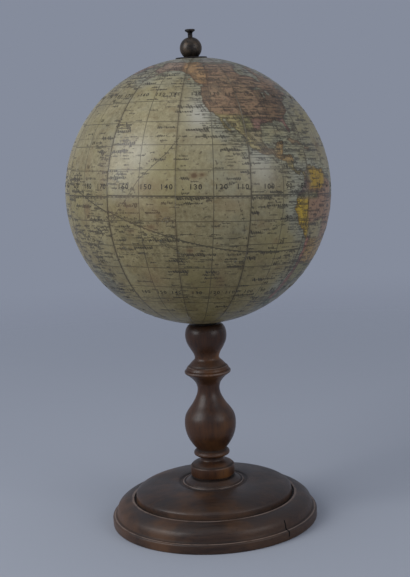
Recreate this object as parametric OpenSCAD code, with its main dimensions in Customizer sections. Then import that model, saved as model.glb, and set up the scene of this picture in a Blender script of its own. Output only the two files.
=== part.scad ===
// Small terrestrial globe on a turned stand.
// Origin: centre of the underside of the base. +Z up, -Y is the side seen first.
// Lengths are in millimetres, angles in degrees.

/* [Globe] */
// Diameter of the finished ball, over the printed paper
globe_d = 160; // [150:1:170]
// Thickness of the printed paper
paper_t = 0.2; // [0.1:0.05:0.3]
// Thickness of the plaster ground
plaster_t = 1.4; // [1:0.1:2]
// Thickness of the papier-mache shell
shell_t = 3; // [2:0.5:5]
// Width of the linen strip over the joint of the two shells
tape_w = 14; // [10:1:20]
// Lean of the printed pole towards +X
print_lean_x = 2.8; // [0:0.1:4]
// Lean of the printed pole towards +Y
print_lean_y = 2.7; // [0:0.1:4]
// Distance of the calotte's rim from the printed pole
calotte_deg = 20; // [18:1:26]
// Gap between neighbouring gores
gore_gap = 0.14; // [0.1:0.02:0.3]
// Height that the upper pole has lost under the washer
pole_flat = 0.8; // [0:0.1:1.2]

/* [Stand] */
// Diameter of the base
base_d = 128.4; // [116:1:140]
// Height of the base at the stem's seat
base_h = 27; // [24:0.2:30]
// Height of the stem above its seat
stem_h = 97.2; // [90:0.2:106]
// Largest diameter of the stem's vase
vase_d = 32; // [30:0.5:35]

/* [Pin and finial] */
// Diameter of the axis pin
pin_d = 2.8; // [2.4:0.1:3.2]
// Clearance on the radius where a piece turns on the pin
running_gap = 0.08; // [0.05:0.01:0.1]
// Diameter of the ball finial
ball_d = 13.1; // [12:0.1:14]
// Diameter of the washer on the upper pole
cap_washer_d = 18.8; // [17:0.2:22]
// Bare shank between the ball and the pin's head
shank_h = 2.4; // [1:0.1:4]

/* [Hidden] */
$fn = 144;

// Small gap left between glued or nested round faces
glue = 0.05;

// Nominal sizes that the turned outlines below are drawn for
drawn_base_r = 64.2;
drawn_base_h = 27;
drawn_stem_h = 97.2;
drawn_vase_r = 16;

// Hollow under the base, its baize, and the screw into the stem's tenon
hollow_r = 50;
hollow_h = 1.6;
baize_t = 0.9;
tenon_r = 8;
tenon_len = 18;
bore_r = 6;
bore_h = 5;
screw_r = 2;
screw_head_r = 3.6;
screw_head_h = 2;
screw_len = 18;
screw_washer_r = 5.6;
screw_washer_t = 0.8;
slot_w = 0.8;

// Drying crack in the rim of the base, counted from +X towards +Y
crack_deg = -47.5;
crack_w = 0.35;
crack_depth = 4.2;

// Washers, bushes and blocks on the axis
ferrule_r = 3.2;
ferrule_len = 14;
pin_in_stem = 27;
lower_washer_r = 7;
lower_washer_t = 0.8;
bush_flange_r = 5;
bush_flange_t = 0.8;
lower_bush_proud = 0.3;
upper_bush_proud = 0.1;
bush_r = 3;
bush_len = 10;
block_r = 16;
block_h = 7;
spindle_r = 6.5;
spindle_bore_r = 2.6;
cap_washer_t = 1;
cap_washer_bore_r = 1.9;
flat_under_ball = 5.3;
flat_over_ball = 6.2;

// Tacks that hold the shells to the blocks
tack_count = 3;
tack_ring_r = 11;
tack_r = 0.7;
tack_head_r = 1.7;
tack_head_t = 0.5;
tack_len = 7.5;

// Radii of the layers of the ball, from the paper inwards
globe_r = globe_d / 2;
paper_in_r = globe_r - paper_t;
plaster_r = paper_in_r - glue;
plaster_in_r = plaster_r - plaster_t;
shell_r = plaster_in_r - glue;
shell_in_r = shell_r - shell_t;
block_top_r = shell_in_r - glue;
tape_in_r = shell_r + glue;
tape_r = tape_in_r + 0.3;

// Heights from the table up
pin_r = pin_d / 2;
run_r = pin_r + running_gap;
seat_z = base_h;
stem_top = seat_z + stem_h;
globe_low = stem_top + lower_washer_t;
globe_z = globe_low + bush_top(-1);
globe_high = globe_z + bush_top(1);
ball_low = globe_high + cap_washer_t;
ball_r = ball_d / 2;
ball_z = ball_low + flat_under_ball;
ball_high = ball_z + flat_over_ball;
head_z = ball_high + shank_h;
block_z = sqrt(pow(block_top_r, 2) - pow(block_r, 2)) - block_h;

// The gores: the joint nearest to the -Y side, then one every 30 degrees
gore_count = 12;
gore_step = 360 / gore_count;
first_joint = -90 - 9.1;
gap_deg = gore_gap / globe_r * 180 / PI;

// Points of a round stretch with centre (x, z)
function arc(x, z, r, from, to, n = 6) =
    [for (i = [0:n]) [x + r * cos(from + (to - from) * i / n), z + r * sin(from + (to - from) * i / n)]];

// One point of a smooth line between b and c, where a and d are the points beside them
function between(a, b, c, d, t) =
    (2 * b + (c - a) * t + (2 * a - 5 * b + 4 * c - d) * t * t
    + (3 * b - a - 3 * c + d) * t * t * t) / 2;

// A smooth line through the points p, with n steps in each span
function smooth(p, n = 3) = [
    for (i = [0:len(p) - 2])
        for (k = [0:i == len(p) - 2 ? n : n - 1])
            between(p[max(i - 1, 0)], p[i], p[i + 1], p[min(i + 2, len(p) - 1)], k / n)
];

// Distance from the ball's centre to the outer face of a bush
function bush_top(side) =
    side > 0 ? globe_r - pole_flat + upper_bush_proud : globe_r + lower_bush_proud;

// Outline of the base: band, shoulder, quirk, dome, a ring, and the raised seat of the stem's foot
function base_outline() = concat(
    [[0, hollow_h], [hollow_r, hollow_h], [hollow_r, 0], [63.4, 0], [64.2, 0.8], [64.2, 4.7]],
    arc(63.1, 4.7, 1.1, 0, 90, 4),
    [[62.3, 5.8]],
    smooth([
        [61.8, 6.0], [61.5, 7.0], [61.3, 8.3], [60.95, 9.8], [60.2, 11.4], [58.9, 12.7],
        [57.1, 14.0], [55.0, 14.95], [52.7, 15.45]
    ]),
    arc(50.75, 14.85, 0.6, 90, 180, 4),
    [[49.7, 14.3], [49.15, 14.4], [48.9, 16.0], [48.85, 18.0]],
    smooth([
        [48.7, 18.6], [48.3, 19.1], [47.5, 19.8], [46.2, 20.55], [44.5, 21.3], [42.0, 22.2],
        [38.0, 23.2], [33.0, 23.9], [28.0, 24.25], [24.0, 24.3], [22.0, 24.1]
    ]),
    [[21.3, 23.6], [19.7, 23.5], [19.3, 23.9]],
    arc(18.7, 23.9, 0.5, 20, 110, 3),
    [[17.8, 24.0], [17.3, 24.2]],
    smooth([[17.2, 24.7], [16.6, 25.1], [15.3, 25.9], [14.2, 26.7], [13.2, 27.0]]),
    [[0, 27.0]]
);

// Outline of the stem above its seat
function stem_outline() = concat(
    [[0, 0], [12.2, 0], [12.2, 1.1], [13.3, 1.4], [13.65, 1.8], [13.65, 7.0], [13.4, 7.6], [12.9, 7.7]],
    smooth([[12.8, 8.2], [12.0, 8.9], [10.4, 9.7], [8.4, 10.3]]),
    [[7.5, 10.8], [7.2, 11.6], [7.2, 13.0], [7.6, 13.4], [8.4, 13.7]],
    smooth([[9.6, 13.8], [10.8, 14.5], [11.2, 15.4], [10.8, 16.6], [9.5, 17.5]]),
    [[9.3, 18.2]],
    smooth([
        [9.7, 18.9], [11.65, 21.4], [13.8, 25.0], [15.35, 29.1], [16.0, 34.2], [15.5, 38.9],
        [13.65, 42.7], [10.35, 47.3], [7.75, 52.1], [6.9, 56.2], [7.5, 59.8], [9.3, 62.5], [11.7, 64.9]
    ]),
    arc(13.1, 67.4, 1.25, -50, 80),
    smooth([[13.4, 68.9], [12.8, 70.1], [12.2, 70.8]]),
    [[11.6, 70.9], [11.3, 71.6]],
    smooth([
        [10.7, 72.3], [9.4, 73.7], [7.9, 75.2], [7.6, 76.9], [8.5, 79.5], [10.6, 83.0],
        [12.2, 86.4], [12.8, 90.0], [12.4, 93.4], [11.2, 96.0], [9.8, 97.2]
    ]),
    [[0, 97.2]]
);

module base() {
    color([0.20, 0.13, 0.10])
    difference() {
        rotate_extrude()
            polygon([
                for (p = base_outline()) [p.x * base_d / 2 / drawn_base_r, p.y * base_h / drawn_base_h]
            ]);
        translate([0, 0, seat_z - tenon_len - glue])
            cylinder(r = tenon_r + glue, h = base_h);
        translate([0, 0, -1])
            cylinder(r = bore_r, h = bore_h + 1);
        cylinder(r = screw_r + glue, h = base_h);
        rotate([0, 0, crack_deg])
            translate([base_d / 2 - crack_depth, -crack_w / 2, 3])
                cube([crack_depth + 1, crack_w, base_h]);
    }
}

module base_baize() {
    color([0.16, 0.28, 0.18])
    translate([0, 0, hollow_h - baize_t])
        difference() {
            cylinder(r = hollow_r - 0.5, h = baize_t);
            translate([0, 0, baize_t / 2])
                cylinder(r = bore_r, h = baize_t);
        }
}

module base_screw_washer() {
    color([0.35, 0.34, 0.33])
    translate([0, 0, bore_h - screw_washer_t])
        difference() {
            cylinder(r = screw_washer_r, h = screw_washer_t);
            translate([0, 0, -1])
                cylinder(r = screw_r + glue, h = screw_washer_t + 2);
        }
}

module base_screw() {
    low = bore_h - screw_washer_t - screw_head_h;
    color([0.35, 0.34, 0.33])
    difference() {
        union() {
            translate([0, 0, low])
                cylinder(r = screw_head_r, h = screw_head_h);
            translate([0, 0, low])
                cylinder(r = screw_r, h = screw_len);
        }
        translate([-screw_head_r - 1, -slot_w / 2, low - 1])
            cube([2 * screw_head_r + 2, slot_w, 1.8]);
    }
}

module stem() {
    color([0.22, 0.14, 0.10])
    difference() {
        union() {
            translate([0, 0, seat_z])
                rotate_extrude()
                    polygon([
                        for (p = stem_outline())
                            [p.x * vase_d / 2 / drawn_vase_r, p.y * stem_h / drawn_stem_h]
                    ]);
            translate([0, 0, seat_z - tenon_len])
                cylinder(r = tenon_r, h = tenon_len + 1);
        }
        cylinder(r = screw_r + glue, h = bore_h + screw_len);
        translate([0, 0, stem_top - pin_in_stem - 1])
            cylinder(r = pin_r + glue, h = pin_in_stem + 2);
        translate([0, 0, stem_top - ferrule_len - glue])
            cylinder(r = ferrule_r + glue, h = ferrule_len + 1);
    }
}

// The pin screws into this brass sleeve
module pin_ferrule() {
    color([0.70, 0.56, 0.30])
    translate([0, 0, stem_top - ferrule_len])
        difference() {
            cylinder(r = ferrule_r, h = ferrule_len);
            translate([0, 0, -1])
                cylinder(r = pin_r + glue, h = ferrule_len + 2);
        }
}

module lower_washer() {
    color([0.20, 0.19, 0.18])
    translate([0, 0, stem_top])
        difference() {
            cylinder(r = lower_washer_r, h = lower_washer_t);
            translate([0, 0, -1])
                cylinder(r = pin_r + glue, h = lower_washer_t + 2);
        }
}

// One long pin from the flared head down into the stem
module axis_pin() {
    color([0.13, 0.12, 0.12])
    difference() {
        union() {
            translate([0, 0, stem_top - pin_in_stem])
                cylinder(r = pin_r, h = pin_in_stem + head_z - stem_top + 0.5);
            translate([0, 0, head_z])
                rotate_extrude()
                    polygon([
                        [0, 0], [pin_r, 0], [1.8, 0.6], [2.75, 1.2],
                        [3.05, 1.6], [2.95, 2.2], [2.4, 2.5], [0, 2.6]
                    ]);
        }
        translate([-5, -slot_w / 2, head_z + 1.7])
            cube([10, slot_w, 2]);
    }
}

module top_washer() {
    color([0.12, 0.11, 0.11])
    translate([0, 0, globe_high])
        difference() {
            cylinder(d = cap_washer_d, h = cap_washer_t);
            translate([0, 0, -1])
                cylinder(r = cap_washer_bore_r, h = cap_washer_t + 2);
        }
}

// Ball with a flat above and below, turning on the pin
module finial_ball() {
    color([0.24, 0.21, 0.17])
    translate([0, 0, ball_z])
        difference() {
            intersection() {
                sphere(r = ball_r);
                translate([0, 0, -flat_under_ball])
                    cylinder(r = ball_r + 1, h = flat_under_ball + flat_over_ball);
            }
            translate([0, 0, -ball_r - 1])
                cylinder(r = run_r, h = ball_d + 2);
        }
}

// Turns a piece drawn for the north pole over for the south pole, and puts both at the ball's centre
module at_pole(side) {
    translate([0, 0, globe_z])
        mirror([0, 0, side > 0 ? 0 : 1])
            children();
}

// Room for a bush in whatever the ball's skin is made of
module bush_hole(side) {
    cylinder(r = bush_r + glue, h = globe_r + 5);
    translate([0, 0, bush_top(side) - bush_flange_t - glue])
        cylinder(r = bush_flange_r + glue, h = 5);
}

module bush(side) {
    color([0.70, 0.56, 0.30])
    at_pole(side)
        difference() {
            union() {
                translate([0, 0, bush_top(side) - bush_len])
                    cylinder(r = bush_r, h = bush_len);
                translate([0, 0, bush_top(side) - bush_flange_t])
                    cylinder(r = bush_flange_r, h = bush_flange_t);
            }
            cylinder(r = run_r, h = globe_r + 5);
        }
}

module tack_places() {
    for (i = [0:tack_count - 1])
        rotate([0, 0, 40 + i * 360 / tack_count])
            translate([tack_ring_r, 0, sqrt(pow(shell_r, 2) - pow(tack_ring_r + tack_head_r, 2))])
                children();
}

module tacks(side) {
    color([0.35, 0.34, 0.33])
    at_pole(side)
        tack_places() {
            translate([0, 0, -tack_head_t])
                cylinder(r = tack_head_r, h = tack_head_t);
            translate([0, 0, -tack_len])
                cylinder(r = tack_r, h = tack_len);
        }
}

module tack_holes() {
    tack_places() {
        translate([0, 0, -tack_head_t - glue])
            cylinder(r = tack_head_r + glue, h = 5);
        translate([0, 0, -tack_len - glue])
            cylinder(r = tack_r + glue, h = tack_len + 5);
    }
}

// Wooden disc inside the shell at a pole, its outer face turned to fit the shell
module block(side) {
    color([0.72, 0.58, 0.40])
    at_pole(side)
        difference() {
            intersection() {
                sphere(r = block_top_r);
                translate([0, 0, block_z])
                    cylinder(r = block_r, h = globe_r);
            }
            bush_hole(side);
            translate([0, 0, -1])
                cylinder(r = spindle_r + glue, h = block_z + 3);
            tack_holes();
        }
}

// Bar with a bore that keeps the poles apart, let into both blocks
module spindle() {
    half = block_z + 2;
    color([0.72, 0.58, 0.40])
    translate([0, 0, globe_z - half])
        difference() {
            cylinder(r = spindle_r, h = 2 * half);
            translate([0, 0, -1])
                cylinder(r = spindle_bore_r, h = 2 * half + 2);
        }
}

module shell(side) {
    color([0.62, 0.55, 0.42])
    at_pole(side)
        difference() {
            intersection() {
                sphere(r = shell_r);
                translate([0, 0, glue / 2])
                    cylinder(r = globe_r, h = globe_r);
            }
            sphere(r = shell_in_r);
            bush_hole(side);
            tack_holes();
        }
}

module joint_tape() {
    color([0.80, 0.76, 0.66])
    translate([0, 0, globe_z])
        rotate_extrude()
            intersection() {
                difference() {
                    circle(r = tape_r);
                    circle(r = tape_in_r);
                }
                translate([0, -tape_w / 2])
                    square([globe_r, tape_w]);
            }
}

// A ball that has lost its upper pole
module worn_ball(r) {
    intersection() {
        sphere(r = r);
        translate([0, 0, -r - 1])
            cylinder(r = r + 1, h = 2 * r + 1 - pole_flat);
    }
}

// One unbroken layer, with a shallow groove inside for the linen strip
module plaster_ground() {
    color([0.88, 0.86, 0.80])
    translate([0, 0, globe_z])
        difference() {
            worn_ball(plaster_r);
            sphere(r = plaster_in_r);
            rotate_extrude()
                intersection() {
                    circle(r = tape_r + glue);
                    translate([globe_r / 2, -tape_w / 2 - glue])
                        square([globe_r, tape_w + 2 * glue]);
                }
            bush_hole(1);
            mirror([0, 0, 1])
                bush_hole(-1);
        }
}

// Puts printed paper on the ball, with the lean of the print
module as_printed() {
    translate([0, 0, globe_z])
        rotate([-print_lean_y, print_lean_x, 0])
            children();
}

// Section of the paper, from the printed pole at "from" to "to" degrees of latitude
module paper_section(from, to) {
    far = globe_r * 2;
    intersection() {
        difference() {
            circle(r = globe_r);
            circle(r = paper_in_r);
        }
        polygon([
            [0, 0], [far * cos(from), far * sin(from)], [far, 0], [far * cos(to), far * sin(to)]
        ]);
    }
}

// One boat-shaped strip of the map
module gore(i) {
    lat = 90 - calotte_deg - gap_deg;
    color([0.66, 0.62, 0.48])
    as_printed()
        rotate([0, 0, first_joint + i * gore_step + gap_deg / 2])
            rotate_extrude(angle = gore_step - gap_deg)
                paper_section(-lat, lat);
}

// Round paper over the ends of the gores, pierced where the pin comes through
module calotte(side) {
    far = globe_d;
    color([0.60, 0.56, 0.44])
    difference() {
        intersection() {
            translate([0, 0, globe_z])
                worn_ball(globe_r);
            as_printed()
                mirror([0, 0, side > 0 ? 0 : 1])
                    rotate_extrude()
                        polygon([[0, 0], [0, far], [far * sin(calotte_deg), far * cos(calotte_deg)]]);
        }
        translate([0, 0, globe_z])
            worn_ball(paper_in_r);
        at_pole(side)
            bush_hole(side);
    }
}

function gore_name(i) = str("gore_", i < 10 ? "0" : "", i);

base();
base_baize();
base_screw();
base_screw_washer();
stem();
pin_ferrule();
lower_washer();
axis_pin();
top_washer();
finial_ball();
bush(-1);  // south_bush
bush(1);  // north_bush
block(-1);  // south_block
block(1);  // north_block
spindle();
shell(-1);  // south_shell
shell(1);  // north_shell
tacks(-1);  // south_tacks
tacks(1);  // north_tacks
joint_tape();
plaster_ground();
for (i = [1:gore_count]) gore(i);
calotte(-1);  // south_calotte
calotte(1);  // north_calotte
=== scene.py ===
import math

import bmesh
import bpy
import numpy as np
from mathutils import Matrix, Vector, noise


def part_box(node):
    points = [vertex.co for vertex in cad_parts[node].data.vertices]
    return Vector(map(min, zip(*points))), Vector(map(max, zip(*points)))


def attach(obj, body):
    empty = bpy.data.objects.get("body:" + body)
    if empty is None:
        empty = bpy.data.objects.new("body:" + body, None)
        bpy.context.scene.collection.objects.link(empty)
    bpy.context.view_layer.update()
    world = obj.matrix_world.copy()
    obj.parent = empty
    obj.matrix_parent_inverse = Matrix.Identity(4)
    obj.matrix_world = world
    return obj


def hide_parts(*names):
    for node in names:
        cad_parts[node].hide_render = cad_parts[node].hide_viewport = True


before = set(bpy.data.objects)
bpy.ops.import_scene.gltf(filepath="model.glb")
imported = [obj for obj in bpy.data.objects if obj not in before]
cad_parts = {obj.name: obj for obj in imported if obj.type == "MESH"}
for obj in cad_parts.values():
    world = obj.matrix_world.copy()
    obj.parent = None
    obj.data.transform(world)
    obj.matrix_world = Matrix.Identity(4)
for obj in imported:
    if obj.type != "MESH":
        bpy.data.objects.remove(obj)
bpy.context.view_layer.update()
scene = bpy.context.scene


# The photographer's corner: a pale grey sweep, a broad soft lamp on the left, a weaker one on the
# right and dim light all round. The camera stands 0.7 m away, a little above the globe's middle,
# and is turned slightly, because the old stand leans.
CAMERA_AT = Vector((0.001, -0.698, 0.256))
CAMERA_DOWN, CAMERA_ROLL = math.radians(8.95), math.radians(-2.99)
FOCAL_PIXELS, FRAME_HEIGHT, SENSOR = 1151, 577, 36
BACKDROP, FLOOR_GREY = (0.235, 0.262, 0.332), (0.415, 0.446, 0.508)
AMBIENT, AMBIENT_STRENGTH = (0.78, 0.84, 1.0), 0.35
LAMPS_AIM_AT = Vector((0, 0, 0.15))


def placed(name, data):
    """A new object of the scene."""
    made = bpy.data.objects.new(name, data)
    scene.collection.objects.link(made)
    return made


ahead = Vector((0, math.cos(CAMERA_DOWN), -math.sin(CAMERA_DOWN)))
level = Vector((1, 0, 0))
upright = level.cross(ahead)
camera_x = level * math.cos(CAMERA_ROLL) + upright * math.sin(CAMERA_ROLL)
camera_y = upright * math.cos(CAMERA_ROLL) - level * math.sin(CAMERA_ROLL)
lens = bpy.data.cameras.new("camera")
lens.sensor_width, lens.lens = SENSOR, FOCAL_PIXELS / FRAME_HEIGHT * SENSOR
lens.clip_start = 0.05
camera = placed("camera", lens)
turn = Matrix((camera_x, camera_y, -ahead)).transposed().to_4x4()
camera.matrix_world = Matrix.Translation(CAMERA_AT) @ turn
scene.camera = camera
scene.view_settings.view_transform = "Standard"


class Wire:
    """A socket in a material, which can be added, multiplied and compared like a number."""

    def __init__(self, tree, socket):
        self.tree, self.socket = tree, socket

    def node(self, kind, settings=None, sockets=None, out=0):
        """Any node: its settings first, then the values or wires of its sockets."""
        made = self.tree.nodes.new(kind)
        for name, value in (settings or {}).items():
            if name == "stops":
                for stop, (at, colour) in zip(made.color_ramp.elements, value):
                    stop.position, stop.color = at, (*colour, 1)
            else:
                setattr(made, name, value)
        for name, value in (sockets or {}).items():
            if isinstance(value, Wire):
                self.tree.links.new(value.socket, made.inputs[name])
            else:
                made.inputs[name].default_value = value
        return Wire(self.tree, made.outputs[out])

    def maths(self, operation, *others):
        values = {i: value for i, value in enumerate((self, *others))}
        return self.node("ShaderNodeMath", {"operation": operation}, values)

    def __add__(self, other): return self.maths("ADD", other)
    def __sub__(self, other): return self.maths("SUBTRACT", other)
    def __rsub__(self, other): return (self * -1) + other
    def __mul__(self, other): return self.maths("MULTIPLY", other)
    def __truediv__(self, other): return self.maths("DIVIDE", other)
    def __abs__(self): return self.maths("ABSOLUTE")
    def fract(self): return self.maths("FRACT")
    def floor(self): return self.maths("FLOOR")
    def sine(self): return self.maths("SINE")
    def cosine(self): return self.maths("COSINE")
    def larger(self, other): return self.maths("MAXIMUM", other)
    def over(self, limit): return self.maths("GREATER_THAN", limit)
    def under(self, limit): return self.maths("LESS_THAN", limit)

    def ramp(self, low, high, start=0.0, end=1.0):
        """From start to end as the wire goes from low to high, with soft ends."""
        settings = {"interpolation_type": "SMOOTHSTEP"}
        values = {0: self, 1: low, 2: high, 3: start, 4: end}
        return self.node("ShaderNodeMapRange", settings, values)

    def tint(self, base, colour, blend="MIX"):
        """The base colour, with the other laid over it as strongly as this wire says."""
        settings = {"data_type": "RGBA", "blend_type": blend}
        base, colour = (c if isinstance(c, Wire) else (*c, 1) for c in (base, colour))
        values = {0: self, 6: base, 7: colour}
        return self.node("ShaderNodeMix", settings, values, out=2)

    def feed(self, socket):
        self.tree.links.new(self.socket, socket)


def new_finish(name):
    """A material, its shader, and the piece's own coordinates to make patterns from."""
    made = bpy.data.materials.new(name)
    made.use_nodes = True
    tree = made.node_tree
    place = Wire(tree, tree.nodes.new("ShaderNodeTexCoord").outputs["Object"])
    return made, tree.nodes["Principled BSDF"], place


def stretched(place, scale):
    return place.node("ShaderNodeMapping", {}, {"Vector": place, "Scale": scale})


def speckle(place, scale, detail=2.0, rough=0.5, twist=0.0):
    values = {"Vector": place, "Scale": scale, "Detail": detail, "Roughness": rough, "Distortion": twist}
    return place.node("ShaderNodeTexNoise", {}, values)


def raise_grain(shader, height, distance):
    """Bump from a height wire, in metres of depth."""
    bump = height.node("ShaderNodeBump", {}, {"Height": height, "Distance": distance, "Strength": 1.0})
    bump.feed(shader.inputs["Normal"])


FLOOR_RADIUS, FLOOR_NEAR, FLOOR_FAR = 3.0, 0.30, 1.05
floor_finish, floor_shader, floor_place = new_finish("paper_sweep")
floor_shader.inputs["Base Color"].default_value = (*FLOOR_GREY, 1)
floor_shader.inputs["Roughness"].default_value = 0.9
far_off = floor_place.node("ShaderNodeVectorMath", {"operation": "LENGTH"}, {0: floor_place}, out="Value")
clear = floor_place.node("ShaderNodeBsdfTransparent")
sockets = {0: far_off.ramp(FLOOR_NEAR, FLOOR_FAR), 1: Wire(clear.tree, floor_shader.outputs[0]), 2: clear}
melted = floor_place.node("ShaderNodeMixShader", {}, sockets)
melted.feed(floor_finish.node_tree.nodes["Material Output"].inputs["Surface"])
bpy.ops.mesh.primitive_circle_add(vertices=96, radius=FLOOR_RADIUS, fill_type="NGON")
floor = bpy.context.object
floor.name = "floor"
floor.data.materials.append(floor_finish)

world = bpy.data.worlds.new("room")
scene.world = world
world.use_nodes = True
air = world.node_tree
ambient = air.nodes["Background"]
ambient.inputs["Color"].default_value = (*AMBIENT, 1)
ambient.inputs["Strength"].default_value = AMBIENT_STRENGTH
seen = Wire(air, air.nodes.new("ShaderNodeLightPath").outputs["Is Camera Ray"])
plain = seen.node("ShaderNodeBackground", {}, {"Color": (*BACKDROP, 1), "Strength": 1.0})
both = seen.node("ShaderNodeMixShader", {}, {0: seen, 1: Wire(air, ambient.outputs[0]), 2: plain})
both.feed(air.nodes["World Output"].inputs["Surface"])

LAMPS = (  # degrees aside and up as seen from the globe, distance, size, and power in watts
    ("left_lamp", -64, 28, 1.3, 0.78, 8.6),
    ("right_lamp", 50, 22, 1.3, 0.65, 3.0),
    ("top_lamp", -10, 80, 1.4, 0.9, 1.5),
)
for name, aside, height, distance, size, power in LAMPS:
    lamp = bpy.data.lights.new(name, "AREA")
    lamp.energy, lamp.size = power, size
    a, h = math.radians(aside), math.radians(height)
    towards = Vector((math.sin(a) * math.cos(h), -math.cos(a) * math.cos(h), math.sin(h)))
    holder = placed(name, lamp)
    holder.location = LAMPS_AIM_AT + towards * distance
    holder.rotation_euler = towards.to_track_quat("Z", "Y").to_euler()


# The base: one disc of dark-stained hardwood, turned with a band, an ogee shoulder, a quirk and a
# full dome. It has shrunk with age, and a crack has opened in its rim. The turned edges are rubbed
# pale, and two faint lines, on the ogee and at the dome's corner, are painted highlights. Painted shade
# darkens its grooves and the ring under the stem's foot. The hollow below holds a disc of baize over
# the screw that draws the stem down.
MM = 0.001
base_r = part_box("base")[1].x
SEAT_Z = 27.0 * MM
CRACK_AT, CRACK_WIDTH, CRACK_START, CRACK_DEEP = math.radians(-47.5), 0.7 * MM, 60.2 * MM, 2.2 * MM
SHARP_EDGE = math.radians(40)
FINE_GRAIN, LONG_GRAIN, PORES_FINER = 520, 30, 4
# Wood colours: a dusty grey film with painted sheen on faces turned up, pores, pale edge lines (rubbed wear
# with a few painted highlights), painted shade in hollows, and the crack.
BLOOM_AND_SHEEN, PORE, PALE_LINE_COLOUR = (0.030, 0.026, 0.026), (0.010, 0.005, 0.003), (0.27, 0.200, 0.165)
SHADE_IN_HOLLOWS, CRACK_DARK = (0.0085, 0.0070, 0.0062), (0.002, 0.0015, 0.001)


def ring(count):
    """Angles all round, for a turned piece with so many facets."""
    return [math.tau * i / count for i in range(count)]


def arc(x, z, r, start, end, steps=6):
    """A round stretch of an outline, in millimetres, turned into metres."""
    angles = [math.radians(start + (end - start) * i / steps) for i in range(steps + 1)]
    return [((x + r * math.cos(a)) * MM, (z + r * math.sin(a)) * MM) for a in angles]


def smooth(points, steps=4):
    """A smooth line through points in millimetres, turned into metres."""
    line = []
    last = len(points) - 2
    for i in range(last + 1):
        near = [np.array(points[max(0, min(i + k, last + 1))]) for k in (-1, 0, 1, 2)]
        a, b, c, d = near
        for k in range(steps + (i == last)):
            t = k / steps
            bend, twist = 2 * a - 5 * b + 4 * c - d, 3 * b - a - 3 * c + d
            line.append(tuple((2 * b + (c - a) * t + bend * t**2 + twist * t**3) / 2 * MM))
    return line


def corners(*points):
    return [(x * MM, z * MM) for x, z in points]


def keep(mesh, name, values, kind="FLOAT", field="value"):
    """Stores values, one for each point of a mesh, for a material to read."""
    layer = mesh.attributes.new(name, kind, "POINT")
    layer.data.foreach_set(field, np.asarray(values, np.float32).ravel())


def turned(name, outline, angles, worn=(), soiled=()):
    """Turns an outline round the Z axis. The lists of pale lines on edges and of painted shade in hollows
    hold (radius, height, width, strength), in millimetres. It keeps both, and how far each point faces up,
    where a dusty film and painted sheen lie."""
    on_axis = outline[0][0] == 0
    side = outline[1:-1] if on_axis else outline
    count, rows = len(angles), len(side)
    verts = [(r * math.cos(a), r * math.sin(a), z) for r, z in side for a in angles]
    faces = []
    for row in range(rows - 1 if on_axis else rows):
        up = (row + 1) % rows
        for i in range(count):
            j = (i + 1) % count
            faces.append((row * count + i, row * count + j, up * count + j, up * count + i))
    if on_axis:
        for (_, z), row, flip in ((outline[0], 0, False), (outline[-1], rows - 1, True)):
            verts.append((0, 0, z))
            for i in range(count):
                a, b = row * count + i, row * count + (i + 1) % count
                faces.append((len(verts) - 1, a, b) if flip else (len(verts) - 1, b, a))
    mesh = bpy.data.meshes.new(name)
    mesh.from_pydata(verts, [], faces)
    form = bmesh.new()
    form.from_mesh(mesh)
    bmesh.ops.recalc_face_normals(form, faces=form.faces)
    form.to_mesh(mesh)
    form.free()
    mesh.shade_smooth()
    mesh.set_sharp_from_angle(angle=SHARP_EDGE)
    # How far each point faces up, where a dusty film and painted sheen lie.
    keep(mesh, "dust", [max(0, vert.normal.z) for vert in mesh.vertices])
    for kind, places in (("worn", worn), ("soiled", soiled)):
        keep(mesh, kind, [max(
            (much * math.exp(-((math.hypot(x, y) - at * MM) ** 2 + (z - high * MM) ** 2) / (wide * MM) ** 2)
             for at, high, wide, much in places), default=0) for x, y, z in verts])
    return placed(name, mesh)


def uneven(piece, size, depth, reaches):
    """Slight hollows and swellings, as old hand-turned wood has them, where reaches(point) is true."""
    for vert in piece.data.vertices:
        if reaches(vert.co):
            dent = noise.fractal(vert.co * size, 0.8, 2.2, 3) * depth
            vert.co += Vector((vert.co.x, vert.co.y, 0)).normalized() * dent


def dress(piece, finish, body, slot, *nodes):
    """Gives a piece its finish and body, and lets it stand for its CAD nodes. The slot is not used."""
    piece.data.materials.append(finish)
    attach(piece, body)
    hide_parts(*nodes)


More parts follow.
